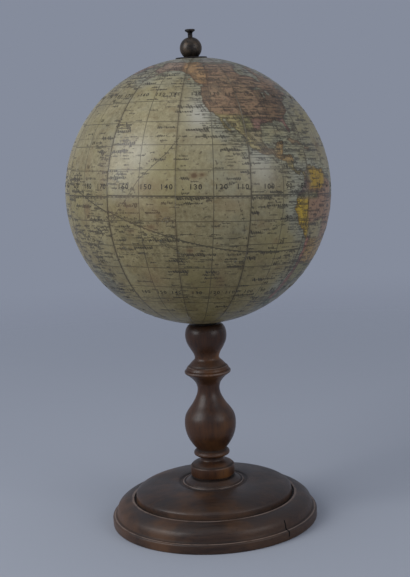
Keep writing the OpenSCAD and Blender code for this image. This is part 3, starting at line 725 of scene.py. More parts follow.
    "borneo": [(109, 1.5), (113, 3.2), (116.8, 7), (119, 5), (117.6, 1), (116, -4), (111, -3.2)],
    "sumatra": [(95.3, 5.6), (100.3, 2.5), (104, -1), (106, -5.8), (102.3, -4), (98.7, 1.7)],
    "java": [(105.3, -6.7), (108.5, -6.6), (114.4, -7.6), (114.3, -8.6), (106.5, -7.4)],
    "celebes": [
        (119.5, -5.4), (119.8, 0), (125, 1.5), (120.5, 0.3), (123.3, -1), (121.5, -2), (122.5, -4.8),
        (120.8, -2.8)],
    "new_guinea": [
        (131, -0.8), (134, -0.8), (135, -3.3), (138, -1.6), (144.5, -3.9), (147.8, -6), (150.7, -10.6),
        (147, -9.5), (143, -8.8), (138, -8.3), (137.8, -5.3), (133, -4)],
    "tasmania": [(144.7, -40.8), (148.3, -40.9), (147, -43.6), (145.5, -42.8)],
    "new_zealand_north": [
        (172.8, -34.5), (175.5, -36.5), (178.4, -37.7), (177, -39.3), (175.2, -41.6), (173.9, -39.4),
        (174.8, -37)],
    "new_zealand_south": [
        (172.7, -40.6), (174.2, -41.7), (171, -44.5), (168.5, -46.6), (166.6, -46), (170, -43)],
    "ceylon": [(79.9, 8), (81.8, 7.5), (80.6, 6)],
    "formosa": [(120.2, 23), (121.5, 25.2), (120.9, 22)],
    "graham_land": [(-58, -63.2), (-62, -67), (-64, -71), (-70, -71), (-67, -67), (-63, -64.3)],
    "victoria_land": [(170, -71), (163, -75), (166, -78), (150, -78), (150, -70), (160, -69.5)],
}
# Lakes and inland seas, cut out of the land
WATERS = {
    "caspian": [(47, 45), (50, 46.7), (53, 46.8), (53.5, 42), (54, 37.2), (49.3, 37.6), (49.8, 40.5)],
    "superior": [(-92, 46.7), (-88, 48.7), (-84.7, 46.6), (-88, 46.8)],
    "michigan": [(-87.8, 42), (-86.3, 42), (-85, 45.6), (-87.5, 45)],
    "huron": [(-84, 46), (-80.5, 45.5), (-82, 43.2), (-83.6, 44)],
    "bear_lake": [(-124, 66), (-118, 67), (-119, 65.2)],
    "slave_lake": [(-116.5, 61.2), (-109.5, 62.8), (-112, 61)],
    "winnipeg": [(-98.5, 53.5), (-96.2, 50.5), (-97.5, 50.5)],
    "baikal": [(104, 51.6), (109.5, 55.6), (108.5, 53)],
    "aral": [(58.5, 44), (61, 46.5), (61, 43.8)],
    "victoria_lake": [(31.8, -2.4), (34, -0.8), (33, 0.4), (31.8, -0.6)],
}
# Small islands and shoals, as single points
ISLETS = [
    (-155.5, 19.6), (-157.9, 21.4), (-159.5, 22.1), (-149.5, -17.7), (-151.5, -16.7), (-148, -15.5),
    (-145, -16.5), (-142, -18), (-140, -9.5), (-139, -8.7), (-138.7, -10), (-171.5, -13.7),
    (-172.5, -13.5), (-170.7, -14.3), (-175.2, -21.1), (-174, -18.7), (-159.8, -21.2), (-151, -23.4),
    (-149.5, -23.9), (-130.1, -25.1), (-109.4, -27.1), (-134.9, -23.1), (-157.4, 1.9), (-160, 5.9),
    (-162, 6.4), (-169.5, 16.7), (-176.5, 0.8), (-171.7, -3), (-171, -9), (-165.8, -10.9), (-158, -9),
    (-150.2, -10), (-155, -4.1), (-91, -0.5), (-90.3, -0.7), (-89.5, -0.9), (-110.9, 18.8), (-118.3, 29),
    (-78.8, -33.6), (-80.1, -26.3), (-105.4, -26.5), (178, -17.8), (179.3, -16.7), (168, -16), (167, -15),
    (165.5, -21.5), (166.8, -22.2), (160, -9.5), (157, -8), (162, -10.5), (155, -6), (151.5, -5.3),
    (149, -5.8), (144.8, 13.5), (145.7, 15.2), (134.5, 7.5), (151.8, 7.4), (158.2, 6.9), (163, 5.3),
    (171, 7.1), (168.7, 9), (173, 1.4), (-25.5, 37.8), (-28.5, 38.5), (-16.8, 32.7), (-16.5, 28.2),
    (-14, 28.4), (-24, 15), (-23.5, 16.5), (-5.7, -15.9), (-14.4, -8), (-12.3, -37.1), (-59, -51.7),
    (-61, -51.8), (-36.5, -54.3), (-64.7, 32.3), (-61, 14.5), (-61.5, 16.2), (-61, 10.4), (-66.3, 18.2),
    (-77, 18.1), (-77.5, 24.5), (-76, 24), (-74.5, 22.6), (-78, 26.6), (2.9, 39.6), (9, 42), (9, 40),
    (14.2, 37.5), (24.9, 35.2), (33.2, 35), (57.5, -20.3), (55.5, -21.1), (55.5, -4.6), (69.5, -49.3),
    (72.5, -7.3), (73.2, 3.5), (92.8, 12), (93.7, 7.5), (105.6, -10.5), (116.5, -8.6), (118.5, -8.6),
    (121.3, -8.6), (124.5, -9.2), (128, 0.8), (129, -3.2), (123.5, 10.5), (109.8, 19.2), (126.5, 33.4),
    (128.2, 26.5), (142.2, 27), (148, 45.3), (154, 49), (-132, 53.3), (-134, 57), (-153.5, 57.4),
    (-166.8, 53.7), (-172, 52.5), (-177, 51.8), (173, 52.8), (-170.3, 63.5), (-169, 57.2), (-18, 76),
    (-7, 62), (-1.3, 60.3), (-8.4, 71), (-75, 38), (-63, 46.4), (-62.8, 49.4), (-115, 76), (-105, 76.5),
    (-98, 73.5), (-96, 76), (-94, 74.8), (-80.5, 62.6), (-100, 70), (145, 75.3), (103, 79), (180, 71.2),
    (55, 80.5), (170, -44), (-176.4, -44), (166, -50.7), (-159, -79), (-45, -60.6), (-68, -68)]
# Great rivers, from source to mouth
RIVERS = [
    [(-95.2, 47.3), (-93, 45), (-90.5, 41.5), (-90.2, 38.7), (-89.2, 36.8), (-91, 33.5), (-91.4, 31),
     (-89.3, 29.2)],
    [(-112, 45.7), (-110, 47.7), (-104, 48), (-100.5, 46), (-96.4, 42.5), (-95, 39.2), (-90.2, 38.8)],
    [(-78, 42), (-82.5, 38.6), (-86, 37.9), (-89.2, 37)], [(-106, 38), (-100, 36), (-94, 35), (-91, 33.8)],
    [(-106, 37), (-106.5, 32), (-103, 29), (-99.5, 27.5), (-97.2, 26)],
    [(-109, 40), (-111, 37.5), (-114, 36), (-114.6, 32)],
    [(-116, 51), (-118, 49), (-119, 46), (-123.8, 46.2)],
    [(-115, 61), (-121, 62), (-126, 65), (-130, 67), (-134.5, 69)], [(-109, 62.6), (-111, 59), (-117, 56)],
    [(-135, 61), (-140, 64), (-145, 66.4), (-153, 65), (-158, 64), (-162, 62.6)],
    [(-114, 51), (-105, 53), (-98, 53)], [(-97, 53.5), (-93, 57)],
    [(-82, 42), (-79, 43.3), (-75, 45), (-71, 47), (-68, 48.6)],
    [(-73, -4.5), (-68, -3), (-62, -3.5), (-56, -2), (-51, -0.5)],
    [(-69, -11), (-65, -9), (-60, -4), (-58.5, -3.2)], [(-67, 2), (-67.5, 5), (-64, 8), (-61, 9)],
    [(-75, 2), (-74, 7), (-74.8, 11)], [(-51, -17), (-54, -25), (-58.7, -27.5), (-60.5, -32), (-58.5, -34)],
    [(-57, -16), (-58, -21), (-58.6, -27.3)],
    [(33, 0.5), (31, 4), (31.5, 9.5), (33, 15.5), (31, 19), (32.5, 25), (31, 30), (31, 31.5)],
    [(37, 12), (33, 15.5)], [(-10, 9.5), (-4, 15), (0, 16.8), (4, 12.5), (6.5, 8), (6, 4.5)],
    [(27, -11), (25, -3), (23, 2), (18, 0), (15.3, -4.3), (12.5, -6)],
    [(23, -13), (26, -17.8), (31, -16), (36, -18.6)], [(29, -28.5), (22, -29), (16.5, -28.6)],
    [(9, 48), (16, 48.2), (19, 46), (22.5, 44.3), (29.5, 45.2)],
    [(33, 57), (41, 57.5), (48.5, 55.5), (47, 49), (45, 48), (48, 46)], [(8, 47.5), (7, 50.5), (4.5, 52)],
    [(33, 54), (31, 50), (34, 47.5), (32.5, 46.6)],
    [(86, 49), (83, 53.5), (73, 58), (69, 61), (66, 66.5), (72, 68.5)],
    [(94, 51.7), (92, 57), (89, 63), (87, 68), (82, 72)],
    [(107, 54), (114, 59), (125, 61), (129, 63.5), (124, 67), (127, 72)],
    [(108, 49.5), (120, 53), (130, 48.5), (136, 49.5), (141, 53)],
    [(96, 35), (103, 36), (108, 40.5), (111, 35), (118, 37.7)],
    [(91, 34), (99, 27.5), (106, 29), (112, 30), (121, 31.8)],
    [(98, 29), (101, 21), (105, 16), (106.5, 10)], [(79, 30.5), (82, 26), (88, 24.5), (90, 22.5)],
    [(81, 31), (75, 35), (71, 31), (67.5, 24.5)], [(82, 29.5), (90, 29.3), (95, 28.5), (90, 25.5)],
    [(39, 38.5), (41, 34.7), (45, 32), (48, 30.3)], [(42, 37.5), (44, 33.5), (47.5, 31)],
    [(148, -36), (143, -34.5), (139.5, -35)], [(147, -26.5), (143, -33.5)]]
# Mountain chains, hatched in the engraving
RIDGES = [
    [(-150, 63), (-142, 61.5), (-135, 59.5), (-128, 55), (-122, 51), (-115, 48), (-111, 44), (-106, 40),
     (-105.5, 35)], [(-121.5, 48), (-121.8, 43), (-119, 38)],
    [(-105, 29), (-104, 24), (-99, 19), (-92, 15.3)], [(-83, 34.8), (-79, 38), (-74.5, 43)],
    [(-76, 7), (-77, 1), (-79, -4), (-76, -11), (-70, -16), (-68, -22), (-69.8, -30), (-71, -38),
     (-73, -47)], [(-5, 32), (3, 35.5)], [(7, 45), (12, 47)], [(0, 42.6), (2.5, 42.5)],
    [(42, 43), (47, 41.5)], [(59, 52), (59.5, 58), (62, 66)],
    [(70, 35), (76, 34.5), (84, 28.5), (96, 28.5)], [(72, 40), (80, 42), (90, 44)],
    [(86, 50), (100, 51), (117, 56), (135, 60)], [(9, 60.5), (15, 66), (20, 68.7)],
    [(37, 10), (37, 1), (36, -6)], [(19, -33), (29, -29)], [(147, -37), (151, -30), (146, -18)],
    [(22, 48), (25, 46), (22, 44.5)], [(45, 38), (52, 32), (57, 28.5)], [(-45, -21), (-41, -15)]]
# Tracks of ships, drawn as thin broken lines, with the trail of names along each
TRACKS = [
    [(-157, -3), (-150, 6.5), (-139, 16.5), (-134, 23)],
    [(-163, -12.5), (-152, -13.5), (-143, -17), (-134, -22.5)], [(-110.5, -1.5), (-108, -8), (-106.5, -18)],
    [(-81, -8), (-95, -14), (-112, -17), (-130, -15), (-149, -17)],
    [(172, -41), (178, -30), (-176, -21), (-166, -12), (-157, -3)],
    [(-69, -56), (-80, -50), (-95, -47), (-125, -46), (-160, -48), (172, -44)],
    [(-20, 63), (-28, 40), (-24, 15), (-20, -8), (-30, -30), (-60, -56)],
    [(18, -36), (45, -40), (90, -42), (140, -45)], [(115, -7), (95, -20), (60, -30), (30, -37)]]
# Hand colouring: rough patches, the first that holds a place wins
ROSE, BUFF, OLIVE = (0.292, 0.176, 0.100), (0.32, 0.225, 0.125), (0.27, 0.24, 0.105)
ORANGE, YELLOW, GREEN = (0.42, 0.225, 0.085), (0.52, 0.335, 0.018), (0.20, 0.22, 0.13)
PINK, VIOLET, SAND = (0.32, 0.165, 0.13), (0.20, 0.135, 0.13), (0.345, 0.285, 0.155)
ASHEN, MAIZE, CORAL = (0.30, 0.20, 0.14), (0.39, 0.32, 0.14), (0.44, 0.19, 0.14)
BRICK, AMBER, RUSSET = (0.34, 0.195, 0.115), (0.40, 0.255, 0.095), (0.205, 0.120, 0.062)
APRICOT, OCHRE = (0.39, 0.225, 0.095), (0.43, 0.265, 0.022)
WASHES = [
    (ASHEN, [(-171, 74), (-141, 74), (-141, 60), (-135, 56), (-138, 54), (-171, 50)]),
    (APRICOT, [(-140, 74), (-124, 74), (-119, 60), (-120, 50), (-131, 50), (-139, 60)]),
    (GREEN, [(-75, 84), (-10, 84), (-15, 59), (-50, 59), (-62, 70), (-75, 76)]),
    (GREEN, [(-95, 84), (-62, 84), (-62, 66), (-82, 66), (-95, 73)]),
    (PINK, [(-85, 31.5), (-79, 31.5), (-79, 24), (-85, 24)]),
    (MAIZE, [(-119, 33.5), (-108, 33), (-106.5, 24), (-119, 22)]),
    (PINK, [(-101, 31), (-93, 30.5), (-94, 27), (-100.5, 26)]),
    (OLIVE, [(-108, 33.3), (-100.5, 32), (-99, 26), (-107, 26)]),
    (RUSSET, [(-93, 48), (-66, 48), (-70, 40), (-80, 30), (-91, 30)]),
    (ROSE, [(-141, 74), (-50, 74), (-50, 45), (-66, 40), (-79, 24), (-94, 28), (-97, 30), (-107, 31.8),
        (-121, 32), (-128, 45), (-130, 54), (-141, 60)]),
    (AMBER, [(-91, 22.5), (-86, 22.5), (-86, 15.6), (-91.2, 15.6), (-91, 17.5)]),
    (MAIZE, [(-108, 26), (-104.5, 25), (-99, 17.8), (-104, 15), (-108, 20)]),
    (BUFF, [(-101, 18.6), (-93, 19.3), (-92, 14), (-101, 15)]),
    (SAND, [(-107, 28), (-96, 28), (-93, 17.5), (-105, 16)]),
    (AMBER, [(-93, 16.5), (-82, 16.6), (-82, 13.2), (-93, 12.8)]),
    (MAIZE, [(-90, 14), (-77, 11.5), (-77, 6), (-90, 6)]),
    (BUFF, [(-86, 24.5), (-60, 24.5), (-60, 13), (-86, 16)]),
    (VIOLET, [(-82, 9.5), (-75.8, 9.5), (-76.5, 1.5), (-82, -1)]),
    (OCHRE, [(-74, 10.5), (-61, 10.5), (-60, 4), (-65, 2), (-74, 2)]),
    (OLIVE, [(-84, 0.8), (-68, 0.8), (-68, -1.6), (-85, -1.6)]),
    (YELLOW, [(-86, -1.6), (-75, -1.6), (-74.5, -8), (-72.5, -14), (-72, -19.5), (-86, -15)]),
    (CORAL, [(-79, -18), (-69.8, -18), (-70, -35), (-71, -50), (-78, -50)]),
    (AMBER, [(-71, -19), (-48, -19), (-48, -30), (-71, -30)]),
    (BRICK, [(-79, 6), (-33, 6), (-33, -34), (-58, -30), (-58, -22), (-60, -10), (-73, -12), (-79, -2)]),
    (OLIVE, [(-71, -22), (-52, -22), (-52, -42), (-71, -42)]),
    (GREEN, [(-77, -40), (-60, -40), (-60, -57), (-77, -57)]),
    (YELLOW, [(-11, 44), (3.5, 43), (3, 35.9), (-11, 35.9)]),
    (GREEN, [(-6, 49.5), (3, 51.5), (8, 49), (7, 42), (-3, 43)]),
    (ROSE, [(-12, 61), (3, 61), (3, 49), (-12, 49)]), (BUFF, [(5, 56), (18, 56), (18, 46), (7, 47)]),
    (GREEN, [(4, 72), (31, 72), (24, 65.7), (20, 60), (12, 54.5), (4, 57)]),
    (PINK, [(6, 47), (19, 46), (19, 36), (8, 38)]), (OLIVE, [(12, 50), (27, 49), (27, 44), (14, 45)]),
    (ORANGE, [(17, 46), (45, 46), (45, 35), (17, 35)]),
    (ROSE, [(18, 79), (60, 79), (60, 45), (40, 42), (28, 44), (18, 53)]),
    (ASHEN, [(60, 81), (192, 81), (192, 50), (60, 50)]), (SAND, [(50, 50), (88, 50), (75, 36), (55, 37)]),
    (YELLOW, [(75, 42), (100, 50), (136, 50), (123, 20), (98, 22), (79, 31)]),
    (ROSE, [(66, 35), (75, 37), (95, 28), (92, 21), (81, 5), (70, 19), (66, 24)]),
    (GREEN, [(44, 40), (66, 38), (62, 24), (48, 30)]),
    (BUFF, [(34, 37), (50, 32), (61, 22), (45, 11), (34, 28)]),
    (OLIVE, [(92, 28), (110, 22), (110, 0), (97, 5), (92, 15)]),
    (GREEN, [(128, 46), (147, 46), (147, 29), (128, 29)]),
    (ORANGE, [(94, 22), (152, 22), (152, -12), (94, -12)]),
    (ROSE, [(112, -9), (155, -9), (155, -29), (112, -29)]),
    (SAND, [(112, -28), (180, -28), (180, -50), (112, -50)]),
    (BUFF, [(-19, 38), (12, 38), (12, 28), (-19, 22)]), (YELLOW, [(9, 34), (37, 34), (37, 21), (12, 19)]),
    (OLIVE, [(-19, 22), (15, 20), (15, 12), (-19, 10)]), (GREEN, [(-19, 11), (16, 13), (16, 2), (-19, 3)]),
    (ROSE, [(15, 20), (38, 20), (52, 13), (52, 2), (15, 4)]),
    (SAND, [(8, 4), (45, 3), (43, -15), (11, -12)]), (PINK, [(8, -10), (27, -10), (27, -27), (11, -25)]),
    (ORANGE, [(26, -12), (41, -12), (36, -26), (26, -24)]),
    (GREEN, [(15, -22), (36, -22), (30, -36), (15, -36)]),
    (YELLOW, [(42, -10), (52, -10), (52, -27), (42, -27)])]
BLUR = 0.9  # how far a colour runs over its border, in degrees
# Old spills and foxing as (longitude, latitude, half width, half height, strength)
STAINS = [
    (-168, 7, 2.5, 9, 0.55), (-146, 3.5, 7, 3.0, 0.55), (-127.6, 7.9, 2.0, 1.5, 1.1),
    (-124.5, 8.2, 1.5, 1.1, 1.0), (-178, -6, 2.5, 3, 0.7), (-156, -5.5, 9, 5, 0.58),
    (-142, -6, 7, 4.5, 0.58), (-145.5, -12.3, 3.2, 1.5, 0.9), (-154.5, -14.5, 2.5, 1.4, 0.6),
    (-129.5, -22, 1.7, 1.2, 0.9), (-149, -36, 6, 5, 0.55), (-115.5, -37, 4, 6, 0.5),
    (-114, -4, 6, 3, 0.45), (-91.5, -19, 1.8, 1.3, 0.6), (-100, -12, 4, 2, 0.3), (-122, 46, 3, 2, 0.4),
    (-98, -28, 3, 2, 0.35), (-178, 12, 2, 7, 0.4), (-60, 20, 6, 3, 0.4), (-30, -10, 8, 5, 0.5),
    (10, 20, 7, 5, 0.4), (40, -20, 8, 4, 0.5), (80, 40, 9, 4, 0.4), (100, -30, 9, 6, 0.5),
    (135, 10, 5, 7, 0.45), (150, -50, 9, 4, 0.5), (60, 65, 10, 3, 0.4)]
# Painted glare: the three spots in front are painted reflections of windows in the varnish; the three behind
# are pale patches on the paper
GLARE_AND_PALE_SPOTS = [
    (-126, 33, 6, 8, 0.8), (-100, 9.5, 6, 6, 0.45), (-150, 17, 6, 7, 0.35), (-20, 30, 9, 8, 0.5),
    (70, -25, 10, 8, 0.5), (150, 30, 9, 9, 0.5)]
# Colours of the paper itself, of the washes in the sea, of painted shade and painted glare, and of what the
# years have left
PAPER_DARK, PAPER_PALE = (0.150, 0.121, 0.054), (0.435, 0.380, 0.222)
YELLOWED, GREYED, BROWNED = (0.300, 0.255, 0.105), (0.325, 0.312, 0.225), (0.210, 0.150, 0.066)
SOUTHWARD_SHADE_AND_YELLOWING, POLAR_CAP = (0.84, 0.78, 0.60), (0.335, 0.330, 0.280)
SEA_WASH, SEA_PALE, GLARE_AND_PALE_PAPER = (0.312, 0.332, 0.258), (0.385, 0.385, 0.315), (0.500, 0.480, 0.405)
MAP_INK, OPEN_JOINT, RUBBED_PAPER = (0.020, 0.015, 0.010), (0.46, 0.42, 0.33), (0.45, 0.41, 0.30)
SPILL, SPILL_CORE, FLECK, GRIME = (
    (0.195, 0.115, 0.048), (0.085, 0.045, 0.024), (0.075, 0.052, 0.030), (0.090, 0.066, 0.034))
COAST_SEED, ISLET_SEED, GORE_SEED = 11, 500, 41
FAR = 9  # beyond this many degrees from a coast nothing changes any more
TROPIC, POLAR_CIRCLE = 23.45, 66.55
SLIT_AT = (225, 0.5)  # where the joint that faces the camera gapes, as longitude and latitude


def ragged(points, seed, depth=3, rough=0.16):
    """A closed coast with bays and points added by halving its stretches."""
    chance = np.random.default_rng(seed)
    line = np.array(points, float)
    for _ in range(depth):
        step = np.roll(line, -1, axis=0) - line
        across = np.column_stack((-step[:, 1], step[:, 0]))
        middle = line + step / 2 + across * chance.uniform(-rough, rough, (len(line), 1))
        line = np.stack((line, middle), axis=1).reshape(-1, 2)
    return line


def as_edges(line, closed=True):
    line = np.asarray(line, float)
    ends = np.roll(line, -1, axis=0) if closed else line[1:]
    return np.hstack((line[: len(ends)], ends))


def islet(lon, lat, seed):
    """A small island, half a degree across or a little more."""
    chance = np.random.default_rng(seed)
    size = chance.uniform(0.3, 0.65)
    angles = np.radians(np.arange(0, 360, 60) + chance.uniform(0, 40))
    reach = size * chance.uniform(0.6, 1.2, 6)
    wide = math.cos(math.radians(lat))
    return np.column_stack((lon + reach * np.cos(angles) / wide, lat + reach * np.sin(angles)))


def chain(lines):
    """Open lines as edges; a line that passes 180 degrees is carried on beyond it."""
    edges = []
    for line in lines:
        line = np.array(line, float)
        line[:, 0] = np.degrees(np.unwrap(np.radians(line[:, 0])))
        edges.append(as_edges(line, closed=False))
    return np.vstack(edges)


shores = [ragged(points, COAST_SEED + i) for i, points in enumerate([*COASTS.values(), *WATERS.values()])]
COAST_EDGES = np.vstack([as_edges(line) for line in shores])
shores += [islet(lon, lat, ISLET_SEED + i) for i, (lon, lat) in enumerate(ISLETS)]
SHORE_EDGES = np.vstack([as_edges(line) for line in shores])
RIVER_EDGES, RIDGE_EDGES, TRACK_EDGES = chain(RIVERS), chain(RIDGES), chain(TRACKS)


def shifted(edges, lon, margin):
    """The edges near a range of longitude, also those that lie a turn away."""
    found = []
    for turn_by in (-360, 0, 360):
        moved = edges + np.array((turn_by, 0, turn_by, 0))
        ends = moved[:, [0, 2]]
        near = (ends.max(1) > lon.min() - margin) & (ends.min(1) < lon.max() + margin)
        found.append(moved[near])
    return np.vstack(found)


def reach_to(edges, lon, lat, limit, margin=24):
    """Distance in degrees from each place to the nearest edge, up to the limit."""
    best = np.full(len(lon), float(limit))
    squeeze = np.cos(np.radians(lat))
    for x0, y0, x1, y1 in shifted(edges, lon, margin):
        near = np.flatnonzero(np.abs(lat - (y0 + y1) / 2) < limit + abs(y1 - y0) / 2)
        k = squeeze[near]
        dx, dy = (x1 - x0) * k, y1 - y0
        px, py = (lon[near] - x0) * k, lat[near] - y0
        along = np.clip((px * dx + py * dy) / (dx * dx + dy * dy + 1e-12), 0, 1)
        best[near] = np.minimum(best[near], np.hypot(px - along * dx, py - along * dy))
    return best


def inside(edges, lon, lat):
    """Which places lie within closed outlines, by counting the crossings below each."""
    hit = np.zeros(len(lon), bool)
    for x0, y0, x1, y1 in shifted(edges, lon, 0):
        if x0 != x1:
            spans = (lon > min(x0, x1)) & (lon <= max(x0, x1))
            hit ^= spans & (y0 + (lon - x0) * (y1 - y0) / (x1 - x0) < lat)
    return hit


def spotted(spots, lon, lat):
    """How strongly soft round spots show at each place."""
    much = np.zeros(len(lon))
    for at, high, wide, tall, strength in spots:
        away = ((lon - at + 180) % 360 - 180) / wide
        much = np.maximum(much, strength * np.exp(-(away**2 + ((lat - high) / tall) ** 2)))
    return much


def read(data, field, width=1, kind=float):
    """One property of every point, corner or face, as an array."""
    values = np.zeros(len(data) * width, kind)
    data.foreach_get(field, values)
    return values.reshape(-1, width) if width > 1 else values


def draw_map(mesh, slip, tone):
    """Keeps on each point of the paper what is printed and painted there."""
    count = len(mesh.vertices)
    place = read(mesh.attributes["place"].data, "vector", 3)
    place[:, :2] += slip
    lon, lat = place[:, 0], place[:, 1]
    land = inside(SHORE_EDGES, lon, lat)
    shore, coast = (reach_to(edges, lon, lat, FAR) for edges in (SHORE_EDGES, COAST_EDGES))
    wash = np.tile(np.array(SAND), (count, 1))
    edge = np.full(count, 3.0)
    for colour, patch in reversed(WASHES):
        lines = as_edges(patch)
        held = inside(lines, lon, lat)
        if held.any():
            away = reach_to(lines, lon, lat, 3)
            part = np.clip(0.5 + np.where(held, away, -away) / (2 * BLUR), 0, 1)[:, None]
            wash = wash * (1 - part) + np.array(colour) * part
            edge = np.where(held, away, np.minimum(edge, away))
    values = {
        "shore": np.where(land, shore, -shore), "edge": edge, "tone": np.full(count, tone),
        "river": reach_to(RIVER_EDGES, lon, lat, 2), "ridge": reach_to(RIDGE_EDGES, lon, lat, 2),
        "track": reach_to(TRACK_EDGES, lon, lat, 2, 40), "stain": spotted(STAINS, lon, lat),
        "bleach": spotted(GLARE_AND_PALE_SPOTS, lon, lat), "coast": np.where(land, FAR, -coast)}
    for name, value in values.items():
        keep(mesh, name, value)
    mesh.attributes["place"].data.foreach_set("vector", place.astype(np.float32).ravel())
    keep(mesh, "wash", np.column_stack((wash, np.ones(count))), "FLOAT_COLOR", "color")


def lay_out(mesh, across, along):
    """Print layout: the outer face folded in two halves, with the hidden faces in a corner strip."""
    height = np.linalg.norm(read(mesh.vertices, "co", 3) - (0, 0, globe_z), axis=1)
    owner = read(mesh.loops, "vertex_index", kind=int)
    sizes = read(mesh.polygons, "loop_total", kind=int)
    face = np.repeat(np.arange(len(sizes)), sizes)
    u, v = across[owner], along[owner]

    def per_face(values):
        return (np.bincount(face, values) / sizes)[face]

    upper = per_face(v) > 0.5
    hidden = per_face(height[owner]) < GLOBE_R - PAPER * 0.4
    u = 0.01 + 0.48 * u + 0.5 * upper
    v = 0.005 + 0.95 * 2 * (v - 0.5 * upper)
    u[hidden], v[hidden] = 0.01 + u[hidden] * 0.02, 0.975 + v[hidden] * 0.02
    layer = mesh.uv_layers.new(name="OFBake")
    layer.data.foreach_set("uv", np.column_stack((u, v)).astype(np.float32).ravel())


